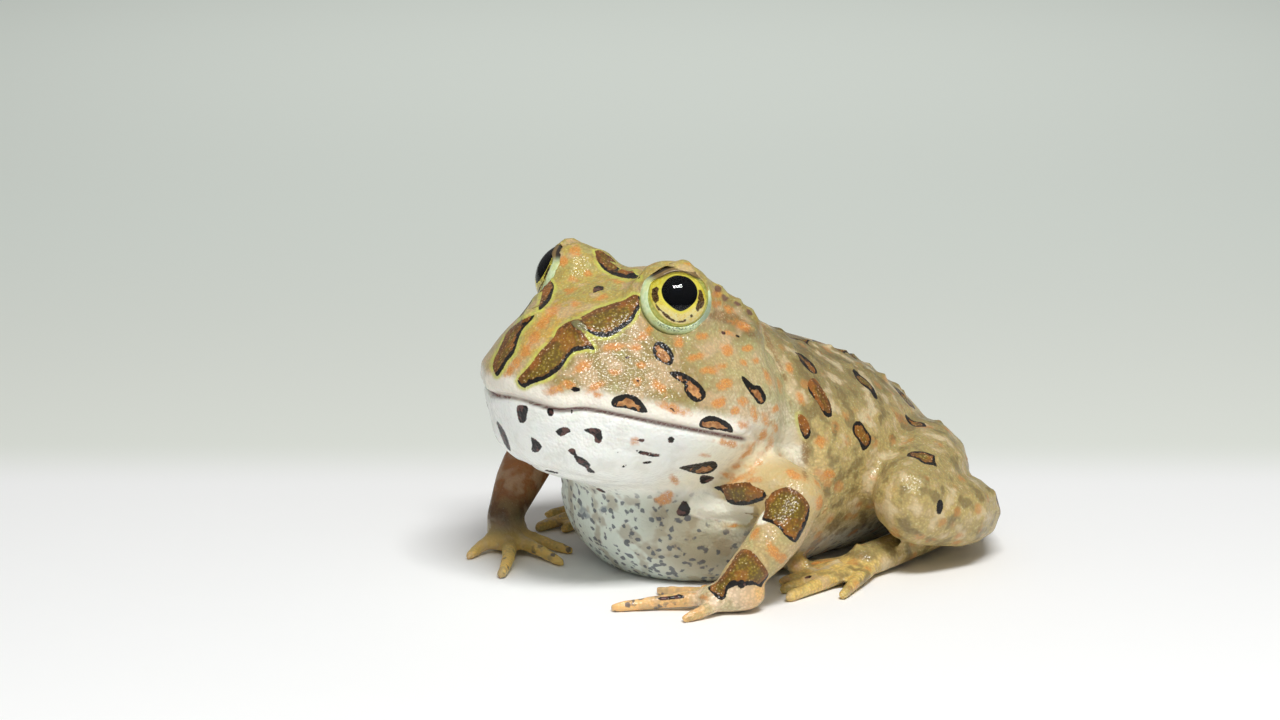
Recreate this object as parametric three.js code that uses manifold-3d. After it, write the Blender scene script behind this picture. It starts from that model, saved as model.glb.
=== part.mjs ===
// An Argentine horned frog, half grown, squatting with its mouth shut, at life size in millimetres.
// While it is shaped, the frog looks along -Y with the tip of its lips at Y = 0 and the floor at Z = 0.
// Its own left side is +X.
// The finished group is then moved so that the middle of its footprint is the origin.
import * as THREE from 'three';
import { mergeVertices } from 'three/addons/utils/BufferGeometryUtils.js';
import Module from 'manifold-3d';

const wasm = await Module();
wasm.setup();

// Driving dimensions
const GAP = 0.3;
const HEAD_HALF_WIDTH = 18.2;
const HEAD_LENGTH = 24;
const SKULL_HEIGHT = 15.6;
const LIP_FRONT_HEIGHT = 26.2;
const MOUTH_CORNER_HEIGHT = 19.4;
const MOUTH_CORNER_BACK = 23;
const LIP_WAVE_BACK = 2.4;
const LIP_WAVE_DEPTH = 0.9;
const LIP_WAVE_WIDTH = 1.3;
const JAW_DEPTH = 10.4;
const JAW_TUCK_BELOW = 2.2;
const JAW_TUCK_DEPTH = 1.7;
const JAW_TUCK_WIDTH = 3.6;
const JAW_TUCK_END = [20, 10];
const SKULL_LEVEL = 22;
const SKULL_LEVEL_RISE = 0.09;
const SKULL_REAR_REACH = 17;
const SKULL_POWER = 1.72;
const SKULL_SCALE = 14;
const LIP_SWELL = 0.45;
const LIP_WIDTH = 1.5;
const UPPER_LIP_OFFSET = 1.9;
const LOWER_LIP_OFFSET = 1.8;
const LIP_END = [25, 20];
const NECK_CREASE = [30.6, 22];
const NECK_CREASE_SLANT = 0.08;
const NECK_CREASE_WIDTH = 2.6;
const NECK_CREASE_DEPTH = 1.3;
const EYE_RADIUS = 4.5;
const EYE_CENTRE = new THREE.Vector3(8.7, 18.8, 35.5);
const EYE_AXIS = new THREE.Vector3(0.73, -0.57, 0.37).normalize();
const LID_THICKNESS = 0.7;
const LID_OPENING_RADIUS = 4.35;
const LID_OPENING_DEPTH = 0.8;
const NOSTRIL = new THREE.Vector3(3.6, 8.15, 33.1);
const NOSTRIL_AXIS = new THREE.Vector3(0.62, -0.62, 0.48).normalize();
const NOSTRIL_RADIUS = 0.5;
const NOSTRIL_LENGTH = 2.2;
const NOSTRIL_MOUND = 1.25;
const LID_UP = new THREE.Vector3(0.42, -0.25, 0.87).normalize();
const LID_LEVEL = 2.2;
const LID_SIZE = 16;
const LID_HEIGHT = 10;
const ORBIT_WALL = 2.4;
const HORN_AXIS = new THREE.Vector3(0.22, 0.12, 0.97).normalize();
const HORN_HEIGHT = 0.85;
const HORN_RADIUS = 2.4;
const EARDRUM_CENTRE = new THREE.Vector3(14.6, 25.6, 28.6);
const EARDRUM_AXIS = new THREE.Vector3(0.9, 0.25, 0.42).normalize();
const EARDRUM_WIDTH = 3.6;
const EARDRUM_HEIGHT = 5.0;
const EARDRUM_DEPTH = 1.3;
const BODY_HALF_WIDTH = 19.6;
const HAND_FLATNESS = 0.8;
const FOOT_FLATNESS = 0.75;
const WART_TOP = 0.35;
const WART_BASE = 1.25;
const HEAD_STEP = 1.35;
const JAW_STEP = 1.8;
const TORSO_STEP = 2.9;
const LID_STEP = 0.95;
const WART_SIDES = 5;
const SIDES = [['left', 1], ['right', -1]];

// Rounded masses of the trunk, each with the width over which it runs into the others
const MASSES = [
  { centre: [0, 21.6, 22.4], radii: [17.7, 21.1, JAW_DEPTH], tilt: 0, soft: 1.5 },
  { centre: [0, 31, 8.6], radii: [16.9, 15.6, 12], tilt: 0, soft: 3 },
  { centre: [0, 41.5, 12.8], radii: [BODY_HALF_WIDTH, 26.5, 14.2], tilt: 0.25, soft: 5 },
  { centre: [0, 56, 8], radii: [15, 11.5, 8.8], tilt: 0, soft: 4 },
];

// Ridges of the head: from the snout to the eye, and from the eye back to the ear
const RIDGES = [
  { from: [4.3, 9, 31.6], to: [7, 14.5, 33.6], radii: [1.3, 2.2], soft: 2.5 },
  { from: [8.2, 22, 36.2], to: [12.2, 28, 31.2], radii: [1.9, 2.1], soft: 3 },
];

// Colours and finishes
const finish = (color, roughness) => new THREE.MeshStandardMaterial({ color, roughness, metalness: 0 });
const BACK_SKIN = finish('#8f9158', 0.55);
const HEAD_SKIN = finish('#a39a68', 0.5);
const PALE_SKIN = finish('#dcdacb', 0.5);
const LIMB_SKIN = finish('#b5a67e', 0.5);
const LID_SKIN = finish('#9fb383', 0.5);
const HORN_SKIN = finish('#8a7b45', 0.55);
const EYE_FINISH = finish('#d8b53a', 0.12);

// Plain arithmetic
const clamp = (value, low, high) => Math.min(Math.max(value, low), high);
const mix = (a, b, t) => a + (b - a) * t;
const ramp = (from, to, value) => {
  const t = clamp((value - from) / (to - from), 0, 1);
  return t * t * (3 - 2 * t);
};
const bell = (value, width) => Math.exp(-((value / width) ** 2));

// Random numbers that are the same on every run
function seeded(seed) {
  let state = seed;
  return () => {
    state = (state * 1664525 + 1013904223) % 4294967296;
    return state / 4294967296;
  };
}

// Soft union of two distances, rounded over a width
function blend(a, b, width) {
  const overlap = Math.max(width - Math.abs(a - b), 0) / width;
  return Math.min(a, b) - overlap * overlap * width * 0.25;
}

// Distance to an ellipsoid, tilted nose up by an angle in the plane of symmetry
function ellipsoid(x, y, z, centre, radii, tilt = 0) {
  const dy = y - centre[1];
  const dz = z - centre[2];
  const c = Math.cos(tilt);
  const s = Math.sin(tilt);
  const u = (x - centre[0]) / radii[0];
  const v = (dy * c - dz * s) / radii[1];
  const w = (dy * s + dz * c) / radii[2];
  const near = Math.hypot(u, v, w);
  const slope = Math.hypot(u / radii[0], v / radii[1], w / radii[2]);
  return near < 0.05 ? -Math.min(...radii) : (near * (near - 1)) / slope;
}

// Distance to a ball, and to a bar that runs between two points with a radius at each
const ball = (x, y, z, centre, radius) => Math.hypot(x - centre.x, y - centre.y, z - centre.z) - radius;
function rod(x, y, z, a, b, radiusA, radiusB) {
  const dx = b[0] - a[0];
  const dy = b[1] - a[1];
  const dz = b[2] - a[2];
  const along = (x - a[0]) * dx + (y - a[1]) * dy + (z - a[2]) * dz;
  const t = clamp(along / (dx * dx + dy * dy + dz * dz), 0, 1);
  return Math.hypot(x - a[0] - dx * t, y - a[1] - dy * t, z - a[2] - dz * t) - mix(radiusA, radiusB, t);
}

// Height of the line of the mouth, which falls from the tip of the snout to the corners
function mouthHeight(y) {
  const t = clamp(y / MOUTH_CORNER_BACK, 0, 1.3);
  const wave = LIP_WAVE_DEPTH * bell(y - LIP_WAVE_BACK, LIP_WAVE_WIDTH);
  return mix(LIP_FRONT_HEIGHT, MOUTH_CORNER_HEIGHT, t ** 1.03) - wave;
}

// Upper half of the head: round from above, with a straight slope from the lips to the brows
function skull(x, y, z) {
  const level = SKULL_LEVEL + SKULL_LEVEL_RISE * (HEAD_LENGTH - y);
  const reach = y > HEAD_LENGTH ? SKULL_REAR_REACH : HEAD_LENGTH;
  const flat = Math.hypot(x / HEAD_HALF_WIDTH, (y - HEAD_LENGTH) / reach);
  const rise = Math.abs(z - level) / (z > level ? SKULL_HEIGHT : JAW_DEPTH);
  const size = (flat ** SKULL_POWER + rise ** SKULL_POWER) ** (1 / SKULL_POWER);
  return (size - 1) * SKULL_SCALE;
}

// Whole skin of the head and body, before lids, ears and warts
function trunk(x, y, z) {
  const side = Math.abs(x);
  let d = skull(side, y, z);
  for (const { centre, radii, tilt, soft } of MASSES) {
    d = blend(d, ellipsoid(side, y, z, centre, radii, tilt), soft);
  }
  for (const { from, to, radii, soft } of RIDGES) d = blend(d, rod(side, y, z, from, to, ...radii), soft);
  d = blend(d, ball(side, y, z, EYE_CENTRE, EYE_RADIUS + LID_THICKNESS), 2.2);
  d = blend(d, ball(side, y, z, NOSTRIL, NOSTRIL_MOUND), 1.2);
  const above = z - mouthHeight(y);
  const lips = bell(above - UPPER_LIP_OFFSET, LIP_WIDTH) + bell(above + LOWER_LIP_OFFSET, LIP_WIDTH);
  const tuck = JAW_TUCK_DEPTH * bell(above + JAW_TUCK_BELOW, JAW_TUCK_WIDTH) * ramp(...JAW_TUCK_END, y);
  const behindCheek = y - NECK_CREASE[0] - (z - NECK_CREASE[1]) * NECK_CREASE_SLANT;
  const creaseReach = ramp(7, 13, side) * ramp(9, 14, z);
  const crease = NECK_CREASE_DEPTH * bell(behindCheek, NECK_CREASE_WIDTH) * creaseReach;
  return d - LIP_SWELL * lips * ramp(...LIP_END, y) + tuck + crease;
}

// Slope of a field at a point
function slopeAt(field, x, y, z) {
  const e = 0.02;
  return [
    (field(x + e, y, z) - field(x - e, y, z)) / (2 * e),
    (field(x, y + e, z) - field(x, y - e, z)) / (2 * e),
    (field(x, y, z + e) - field(x, y, z - e)) / (2 * e),
  ];
}

// The same shape with its surface moved outwards by a distance
function grown(field, distance) {
  return (x, y, z) => field(x, y, z) / Math.max(Math.hypot(...slopeAt(field, x, y, z)), 0.3) - distance;
}

// Point of a field's surface that a straight line from an inner point meets
function surfacePoint(field, inner, direction, reach) {
  let low = 0;
  let high = reach;
  for (let turn = 0; turn < 40; turn += 1) {
    const middle = (low + high) / 2;
    const p = inner.clone().addScaledVector(direction, middle);
    if (field(p.x, p.y, p.z) < 0) low = middle;
    else high = middle;
  }
  return inner.clone().addScaledVector(direction, low);
}

// Closed surface of a field inside a box, with one point in each cell that the surface crosses
function surfaceOf(field, low, high, step) {
  const count = low.map((value, axis) => Math.ceil((high[axis] - value) / step) + 1);
  const stride = [1, count[0], count[0] * count[1]];
  const at = (i, j, k) => i + j * stride[1] + k * stride[2];
  const values = new Float64Array(count[0] * count[1] * count[2]);
  for (let k = 0; k < count[2]; k += 1) {
    for (let j = 0; j < count[1]; j += 1) {
      for (let i = 0; i < count[0]; i += 1) {
        const rim = [i, j, k].some((index, axis) => index === 0 || index === count[axis] - 1);
        const value = field(low[0] + i * step, low[1] + j * step, low[2] + k * step);
        values[at(i, j, k)] = rim ? Math.max(value, step * 0.5) : value;
      }
    }
  }
  const corners = [[0, 0, 0], [1, 0, 0], [0, 1, 0], [1, 1, 0], [0, 0, 1], [1, 0, 1], [0, 1, 1], [1, 1, 1]];
  const cellPoint = new Map();
  const positions = [];
  for (let k = 0; k < count[2] - 1; k += 1) {
    for (let j = 0; j < count[1] - 1; j += 1) {
      for (let i = 0; i < count[0] - 1; i += 1) {
        const sum = [0, 0, 0];
        let crossings = 0;
        for (let a = 0; a < 8; a += 1) {
          for (let bit = 1; bit < 8; bit *= 2) {
            if ((a & bit) === 0) {
              const p = corners[a];
              const q = corners[a + bit];
              const va = values[at(i + p[0], j + p[1], k + p[2])];
              const vb = values[at(i + q[0], j + q[1], k + q[2])];
              if (va < 0 !== vb < 0) {
                const t = va / (va - vb);
                for (let axis = 0; axis < 3; axis += 1) sum[axis] += mix(p[axis], q[axis], t);
                crossings += 1;
              }
            }
          }
        }
        if (crossings > 0) {
          cellPoint.set(at(i, j, k), positions.length / 3);
          const base = [i, j, k].map((index, axis) => low[axis] + (index + sum[axis] / crossings) * step);
          positions.push(...settled(field, base, step * 0.4));
        }
      }
    }
  }
  const index = [];
  const quad = (a, b, c, d, flip) => {
    const ring = (flip ? [a, d, c, b] : [a, b, c, d]).map((cell) => cellPoint.get(cell));
    const spot = ring.map((n) => new THREE.Vector3().fromArray(positions, n * 3));
    const turned = spot[0].distanceTo(spot[2]) > spot[1].distanceTo(spot[3]);
    const order = turned ? [1, 2, 3, 1, 3, 0] : [0, 1, 2, 0, 2, 3];
    order.forEach((n) => index.push(ring[n]));
  };
  for (let k = 0; k < count[2] - 1; k += 1) {
    for (let j = 0; j < count[1] - 1; j += 1) {
      for (let i = 0; i < count[0] - 1; i += 1) {
        const here = at(i, j, k);
        const inside = values[here] < 0;
        for (let axis = 0; axis < 3; axis += 1) {
          if (inside !== values[here + stride[axis]] < 0) {
            const s = stride[(axis + 1) % 3];
            const t = stride[(axis + 2) % 3];
            quad(here - s - t, here - t, here, here - s, !inside);
          }
        }
      }
    }
  }
  const geometry = new THREE.BufferGeometry();
  geometry.setAttribute('position', new THREE.Float32BufferAttribute(positions, 3));
  geometry.setIndex(index);
  return geometry;
}

// A point moved onto a field's surface along its slope, by no more than a limit
function settled(field, point, limit) {
  let p = point;
  for (let turn = 0; turn < 3; turn += 1) {
    const slope = slopeAt(field, ...p);
    const square = Math.max(slope[0] ** 2 + slope[1] ** 2 + slope[2] ** 2, 0.05);
    const value = field(...p) / square;
    p = p.map((coordinate, axis) => coordinate - slope[axis] * value);
  }
  const moved = Math.hypot(...p.map((coordinate, axis) => coordinate - point[axis]));
  const share = moved > limit ? limit / moved : 1;
  return p.map((coordinate, axis) => mix(point[axis], coordinate, share));
}

// Geometry with one vertex at each corner
function shared(geometry) {
  const bare = geometry.clone();
  bare.deleteAttribute('normal');
  bare.deleteAttribute('uv');
  return mergeVertices(bare, 1e-4);
}

// Closed geometry to solid, and back to the geometry of the solid's largest piece
function solidOf(geometry) {
  const merged = shared(geometry);
  const triangles = [];
  for (let n = 0; n < merged.index.count; n += 3) {
    const [a, b, c] = [0, 1, 2].map((corner) => merged.index.getX(n + corner));
    if (a !== b && b !== c && c !== a) triangles.push(a, b, c);
  }
  const vertProperties = new Float32Array(merged.attributes.position.array);
  const triVerts = new Uint32Array(triangles);
  return new wasm.Manifold(new wasm.Mesh({ numProp: 3, vertProperties, triVerts }));
}
function largest(solid) {
  return solid.decompose().reduce((best, piece) => (piece.volume() > best.volume() ? piece : best));
}
function geometryOf(solid) {
  const mesh = largest(solid).getMesh();
  const geometry = new THREE.BufferGeometry();
  geometry.setAttribute('position', new THREE.BufferAttribute(new Float32Array(mesh.vertProperties), 3));
  geometry.setIndex(new THREE.BufferAttribute(new Uint32Array(mesh.triVerts), 1));
  geometry.computeVertexNormals();
  return geometry;
}
const joined = (solids) => solids.reduce((sum, solid) => sum.add(solid));

// Slab right across the body, from an outline drawn in the plane of symmetry
function slab(outline) {
  const width = 100;
  const shape = new THREE.Shape(outline.map(([y, z]) => new THREE.Vector2(y, z)));
  const geometry = new THREE.ExtrudeGeometry(shape, { depth: width, bevelEnabled: false });
  const toBody = new THREE.Matrix4().makeBasis(
    new THREE.Vector3(0, 1, 0),
    new THREE.Vector3(0, 0, 1),
    new THREE.Vector3(1, 0, 0),
  );
  return solidOf(geometry.applyMatrix4(toBody).translate(-width / 2, 0, 0));
}

// A piece made along +Z, turned to an axis and set at a place
function aimed(geometry, place, axis, spin = 0) {
  const turn = new THREE.Quaternion().setFromUnitVectors(new THREE.Vector3(0, 0, 1), axis);
  return shared(geometry).rotateZ(spin).applyQuaternion(turn).translate(place.x, place.y, place.z);
}

// Limb or digit: a round bar on a smooth curve through its points, with a radius at each and domed ends
function bar(points, radii, sides, rings, flatten = 1, extra = 0) {
  const knots = points.map((point) => new THREE.Vector3(...point));
  const curve = new THREE.CatmullRomCurve3(knots, false, 'centripetal');
  const domes = sides > 7 ? 3 : 2;
  const geometry = shared(new THREE.CapsuleGeometry(1, 2, domes, sides, rings));
  const position = geometry.attributes.position;
  const radiusAt = (t) => {
    const place = clamp(t, 0, 1) * (radii.length - 1);
    const n = Math.min(Math.floor(place), radii.length - 2);
    return mix(radii[n], radii[n + 1], place - n) + extra;
  };
  for (let n = 0; n < position.count; n += 1) {
    const height = position.getY(n);
    const t = clamp((height + 1) / 2, 0, 1);
    const beyond = height > 1 ? height - 1 : Math.min(height + 1, 0);
    const tangent = curve.getTangent(t);
    const across = new THREE.Vector3(-tangent.y, tangent.x, 0).normalize();
    const upward = new THREE.Vector3().crossVectors(tangent, across).normalize();
    const radius = radiusAt(t);
    const p = curve.getPoint(t).addScaledVector(tangent, beyond * radius);
    p.addScaledVector(across, position.getX(n) * radius);
    p.addScaledVector(upward, position.getZ(n) * (radius * flatten));
    position.setXYZ(n, p.x, p.y, p.z);
  }
  const solid = solidOf(geometry);
  return solid.volume() > 0 ? solid : solidOf(turnedOut(geometry));
}
function turnedOut(geometry) {
  const index = geometry.index;
  for (let n = 0; n < index.count; n += 3) {
    const first = index.getX(n);
    index.setX(n, index.getX(n + 1));
    index.setX(n + 1, first);
  }
  return geometry;
}

// Everything below the floor, cut away to leave small flats at one level
const belowFloor = solidOf(new THREE.BoxGeometry(200, 200, 40).translate(0, 40, -20));

// The three cuts that part the trunk into head, lower jaw and torso
const junction = [27.5, 18.8];
const mouthCut = [];
for (let y = -6; y < junction[0] - 1; y += 0.75) mouthCut.push([y, mouthHeight(Math.max(y, 0))]);
const neckTop = [31, 60];
const throatCut = [[16.5, 12.1], [4, 3.6]];
const raise = (line, dy, dz) => line.map(([y, z]) => [y + dy, z + dz]);
const half = GAP / 2;
const headRegion = slab([
  ...raise(mouthCut, 0, half),
  ...raise([junction, neckTop], -half, half),
  [-6, 60],
]);
const jawRegion = slab([
  ...raise([...mouthCut, junction], 0, -half),
  ...throatCut,
  [-6, 3.6],
].map(([y, z], n, all) => (n === mouthCut.length ? [y - GAP, z] : [y, z])));
const torsoRegion = slab([
  ...raise([throatCut[1], throatCut[0]], half, -GAP),
  ...raise([junction, neckTop], half, -half),
  [90, 60],
  [90, -6],
  [4, -6],
]);

// Places on both sides of the body
const mirrored = (v, side) => new THREE.Vector3(v.x * side, v.y, v.z);
const reflect = (points, side) => points.map(([x, y, z]) => [x * side, y, z]);

// Warts in rows and fields on the back and head, low cones sunk into the skin
const wartRandom = seeded(7);
function wart(inner, direction, radius) {
  const root = surfacePoint(trunk, inner, direction, 60);
  const normal = new THREE.Vector3(...slopeAt(trunk, root.x, root.y, root.z)).normalize();
  const height = radius * mix(1.5, 1.9, wartRandom());
  const cone = new THREE.CylinderGeometry(radius * WART_TOP, radius * WART_BASE, height, WART_SIDES, 1);
  cone.rotateX(Math.PI / 2).translate(0, 0, -height * 0.12);
  return solidOf(aimed(cone, root, normal, wartRandom() * Math.PI));
}
function wartRow(from, to, count, radius) {
  const warts = [];
  for (let n = 0; n < count; n += 1) {
    const t = (n + 0.5 + (wartRandom() - 0.5) * 0.5) / count;
    const y = mix(from[1], to[1], t);
    const x = mix(from[0], to[0], t) + (wartRandom() - 0.5) * 1.2;
    const inner = new THREE.Vector3(x * 0.35, y, 14);
    const direction = new THREE.Vector3(x * 0.65, 0, 18).normalize();
    warts.push(wart(inner, direction, radius * mix(0.75, 1.2, wartRandom())));
  }
  return warts;
}
function backWarts(side) {
  return [
    ...wartRow([side * 9, 34], [side * 8, 60], 8, 0.85),
    ...wartRow([side * 16, 34], [side * 17, 56], 6, 0.8),
    ...wartRow([side * 24, 36], [side * 26, 54], 5, 0.75),
  ];
}
function headWarts(side) {
  return [
    ...wartRow([side * 8.5, 24], [side * 9.5, 28], 2, 0.7),
    ...wartRow([side * 5, 26], [side * 4, 13], 3, 0.5),
  ];
}

// Lid, socket and ear cuts on one side of the head
function orbit(side) {
  const centre = mirrored(EYE_CENTRE, side);
  const axis = mirrored(EYE_AXIS, side);
  const globe = (radius) => solidOf(new THREE.SphereGeometry(radius, 14, 10).translate(...centre));
  const reach = 14;
  const radius = LID_OPENING_RADIUS;
  const opening = new THREE.CylinderGeometry(radius, radius, reach, 24).rotateX(Math.PI / 2);
  const front = solidOf(aimed(opening.translate(0, 0, reach / 2 + LID_OPENING_DEPTH), centre, axis));
  return { centre, axis, globe, front };
}

// The upper lid is the top of the orbit, above a plane that passes just over the middle of the eye
function lidRegion(side, extra) {
  const centre = mirrored(EYE_CENTRE, side);
  const size = LID_SIZE + extra;
  const block = new THREE.BoxGeometry(size, size, LID_HEIGHT);
  block.translate(0, 0, LID_HEIGHT / 2 + LID_LEVEL - extra);
  const bulge = new THREE.SphereGeometry(EYE_RADIUS + ORBIT_WALL + extra, 20, 14).translate(...centre);
  return solidOf(aimed(block, centre, mirrored(LID_UP, side))).intersect(solidOf(bulge));
}
function eardrumCut(side, extra) {
  const depth = EARDRUM_DEPTH + extra;
  const reach = 4;
  const radius = 0.5 * EARDRUM_WIDTH + extra;
  const disc = new THREE.CylinderGeometry(radius, radius, depth + reach, 14).rotateX(Math.PI / 2);
  disc.scale(1, (0.5 * EARDRUM_HEIGHT + extra) / radius, 1).translate(0, 0, (reach - depth) / 2);
  const axis = mirrored(EARDRUM_AXIS, side);
  const place = surfacePoint(trunk, mirrored(EARDRUM_CENTRE, side).addScaledVector(axis, -8), axis, 30);
  return solidOf(aimed(disc, place, axis));
}
function nostrilCut(side) {
  const pit = new THREE.ConeGeometry(NOSTRIL_RADIUS, NOSTRIL_LENGTH, 8).rotateX(-Math.PI / 2);
  const axis = mirrored(NOSTRIL_AXIS, side);
  const place = surfacePoint(trunk, mirrored(NOSTRIL, side), axis, 6);
  return solidOf(aimed(pit, place, axis));
}

const frog = new THREE.Group();
function addNode(name, solid, material) {
  const mesh = new THREE.Mesh(geometryOf(solid), material);
  mesh.name = name;
  frog.add(mesh);
}

// The whole trunk, and the same a little fatter, to cut the limbs clear of it
const headSurface = solidOf(surfaceOf(trunk, [-21, -3, 9], [21, 34, 46], HEAD_STEP));
const jawSurface = solidOf(surfaceOf(trunk, [-21, -3, 4], [21, 34, 30], JAW_STEP));
const torsoSurface = solidOf(surfaceOf(trunk, [-25, 5, -8], [25, 76, 40], TORSO_STEP));
const clearTrunk = solidOf(surfaceOf(grown(trunk, GAP + 0.1), [-25, -4, -6], [25, 76, 46], 1.6));

// Head
const orbits = SIDES.map(([, side]) => orbit(side));
let head = headSurface.intersect(headRegion);
for (const [, side] of SIDES) {
  head = head.add(joined(headWarts(side)).intersect(headRegion));
  head = head.subtract(lidRegion(side, GAP)).subtract(eardrumCut(side, GAP)).subtract(nostrilCut(side));
}
for (const { globe, front } of orbits) head = head.subtract(globe(EYE_RADIUS + GAP)).subtract(front);
addNode('head', head, HEAD_SKIN);
addNode('lower_jaw', jawSurface.intersect(jawRegion), PALE_SKIN);

// Torso
const backWartSolids = SIDES.flatMap(([, side]) => backWarts(side));
const torso = joined([torsoSurface, ...backWartSolids]).intersect(torsoRegion).subtract(belowFloor);
addNode('torso', torso, BACK_SKIN);

// Eyes, lids, horns and eardrums
for (const [name, side] of SIDES) {
  const { centre, axis, globe, front } = orbit(side);
  const eye = new THREE.SphereGeometry(EYE_RADIUS, 14, 10);
  addNode(`eye_${name}`, solidOf(aimed(eye.rotateX(Math.PI / 2), centre, axis)), EYE_FINISH);
  const low = [centre.x - 8.5, centre.y - 8.5, centre.z - 5];
  const high = [centre.x + 8.5, centre.y + 8.5, centre.z + 8.5];
  const brow = solidOf(surfaceOf(trunk, low, high, LID_STEP));
  const lid = brow.intersect(lidRegion(side, 0)).subtract(globe(EYE_RADIUS + GAP)).subtract(front);
  addNode(`upper_eyelid_${name}`, lid, LID_SKIN);
  const hornAxis = mirrored(HORN_AXIS, side);
  const horn = new THREE.ConeGeometry(HORN_RADIUS, HORN_HEIGHT * 2, 8).rotateX(Math.PI / 2);
  const hornRoot = surfacePoint(trunk, centre, hornAxis, 12);
  const clearLid = solidOf(surfaceOf(grown(trunk, GAP), low, high, LID_STEP));
  addNode(`eyelid_horn_${name}`, solidOf(aimed(horn, hornRoot, hornAxis)).subtract(clearLid), HORN_SKIN);
  addNode(`eardrum_${name}`, headSurface.intersect(eardrumCut(side, 0)), HEAD_SKIN);
}

// Arms: upper arm, forearm, palm and four free fingers, from shoulder to tips
const ARM = {
  upper: { points: [[9, 24, 12.5], [15, 25.5, 13.6], [21.4, 26.3, 12.6]], radii: [4.6, 4.1, 3.5] },
  fore: { points: [[21.6, 26, 12.2], [21.6, 22.2, 8], [20, 17.6, 3.6]], radii: [3.3, 3.1, 2.2] },
  palm: { points: [[20.4, 18.6, 2.2], [18.4, 16.2, 1.8]], radii: [2.6, 2.3] },
};
const FINGERS = [
  { points: [[18.4, 19, 1.5], [14.8, 20.2, 0.9], [11.6, 20.9, 0.45]], radii: [1.05, 0.75, 0.58] },
  { points: [[17.4, 17, 1.6], [12.8, 17, 1], [8.6, 16.5, 0.45]], radii: [1.1, 0.8, 0.6] },
  { points: [[17, 15.8, 1.6], [13, 11.9, 1], [9.8, 7.8, 0.5]], radii: [1.2, 0.85, 0.64] },
  { points: [[19.4, 15.8, 1.6], [19.2, 13, 1], [18.6, 10.6, 0.45]], radii: [1.15, 0.8, 0.6] },
];
for (const [name, side] of SIDES) {
  const piece = (spec, sides, rings, flatten, extra) =>
    bar(reflect(spec.points, side), spec.radii, sides, rings, flatten, extra);
  const upper = piece(ARM.upper, 10, 4).subtract(clearTrunk);
  addNode(`upper_arm_${name}`, upper, LIMB_SKIN);
  const clearUpper = piece(ARM.upper, 10, 4, 1, GAP);
  const clearFore = piece(ARM.fore, 10, 5, 1, GAP);
  const clearPalm = piece(ARM.palm, 10, 2, HAND_FLATNESS, GAP);
  const fore = piece(ARM.fore, 10, 5).subtract(clearUpper).subtract(clearTrunk).subtract(belowFloor);
  addNode(`forearm_${name}`, fore, LIMB_SKIN);
  const palm = piece(ARM.palm, 10, 2, HAND_FLATNESS).subtract(clearFore).subtract(clearTrunk);
  addNode(`hand_${name}`, palm.subtract(belowFloor), LIMB_SKIN);
  const clearHand = joined([clearPalm, clearFore, clearTrunk, belowFloor]);
  FINGERS.forEach((spec, n) => {
    let finger = piece(spec, 7, 4).subtract(clearHand);
    if (n > 0) finger = finger.subtract(piece(FINGERS[n - 1], 7, 4, 1, GAP));
    addNode(`finger_${name}_${n + 1}`, finger, LIMB_SKIN);
  });
}

// Hind legs: thigh and shank folded together, foot forward under them, five toes
const LEG = {
  thigh: { points: [[9, 60, 9], [18, 53, 10], [24, 44, 9.5]], radii: [6, 6.4, 4.8] },
  shank: { points: [[24.5, 44.5, 8.4], [25, 53, 6.4], [18.5, 61.5, 4.4]], radii: [4.6, 4.4, 3] },
  foot: { points: [[18, 61.5, 3], [20, 50, 2.3], [20.4, 40, 1.8]], radii: [2.9, 2.5, 2.6] },
};
const TOES = [
  { reach: [14.5, 33.5], root: [18.6, 40], radius: 0.88 },
  { reach: [16.5, 29.5], root: [19.2, 39.4], radius: 0.88 },
  { reach: [18.9, 27.2], root: [20.1, 39], radius: 0.94 },
  { reach: [21.6, 25.2], root: [21, 39.2], radius: 1 },
  { reach: [25.4, 30.4], root: [21.8, 39.8], radius: 0.88 },
];
const TOE_HEIGHTS = [1.3, 1.1];
const TOE_TAPER = [1.2, 1, 0.7];
function toeBar({ reach, root, radius }, side, extra = 0) {
  const middle = [mix(root[0], reach[0], 0.5), mix(root[1], reach[1], 0.5)];
  const points = [[...root, TOE_HEIGHTS[0]], [...middle, TOE_HEIGHTS[1]], [...reach, radius * 0.62]];
  return bar(reflect(points, side), TOE_TAPER.map((share) => radius * share), 7, 3, 1, extra);
}
for (const [name, side] of SIDES) {
  const piece = (spec, sides, rings, flatten, extra) =>
    bar(reflect(spec.points, side), spec.radii, sides, rings, flatten, extra);
  const clearThigh = piece(LEG.thigh, 12, 5, 1, GAP);
  const clearShank = piece(LEG.shank, 10, 5, 1, GAP);
  const clearFoot = piece(LEG.foot, 10, 4, FOOT_FLATNESS, GAP);
  addNode(`thigh_${name}`, piece(LEG.thigh, 12, 5).subtract(clearTrunk).subtract(belowFloor), BACK_SKIN);
  const shank = piece(LEG.shank, 10, 5).subtract(clearThigh).subtract(clearTrunk).subtract(belowFloor);
  addNode(`shank_${name}`, shank, BACK_SKIN);
  const foot = piece(LEG.foot, 10, 4, FOOT_FLATNESS).subtract(clearShank).subtract(clearThigh);
  addNode(`foot_${name}`, foot.subtract(clearTrunk).subtract(belowFloor), LIMB_SKIN);
  TOES.forEach((spec, n) => {
    let toe = toeBar(spec, side).subtract(clearFoot).subtract(clearTrunk).subtract(belowFloor);
    if (n > 0) toe = toe.subtract(toeBar(TOES[n - 1], side, GAP));
    addNode(`toe_${name}_${n + 1}`, toe, LIMB_SKIN);
  });
}

// Origin at the middle of the footprint, on the floor
const box = new THREE.Box3().setFromObject(frog);
const middle = box.getCenter(new THREE.Vector3());
frog.children.forEach((mesh) => mesh.geometry.translate(-middle.x, -middle.y, -box.min.z));

export default frog;
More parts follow.
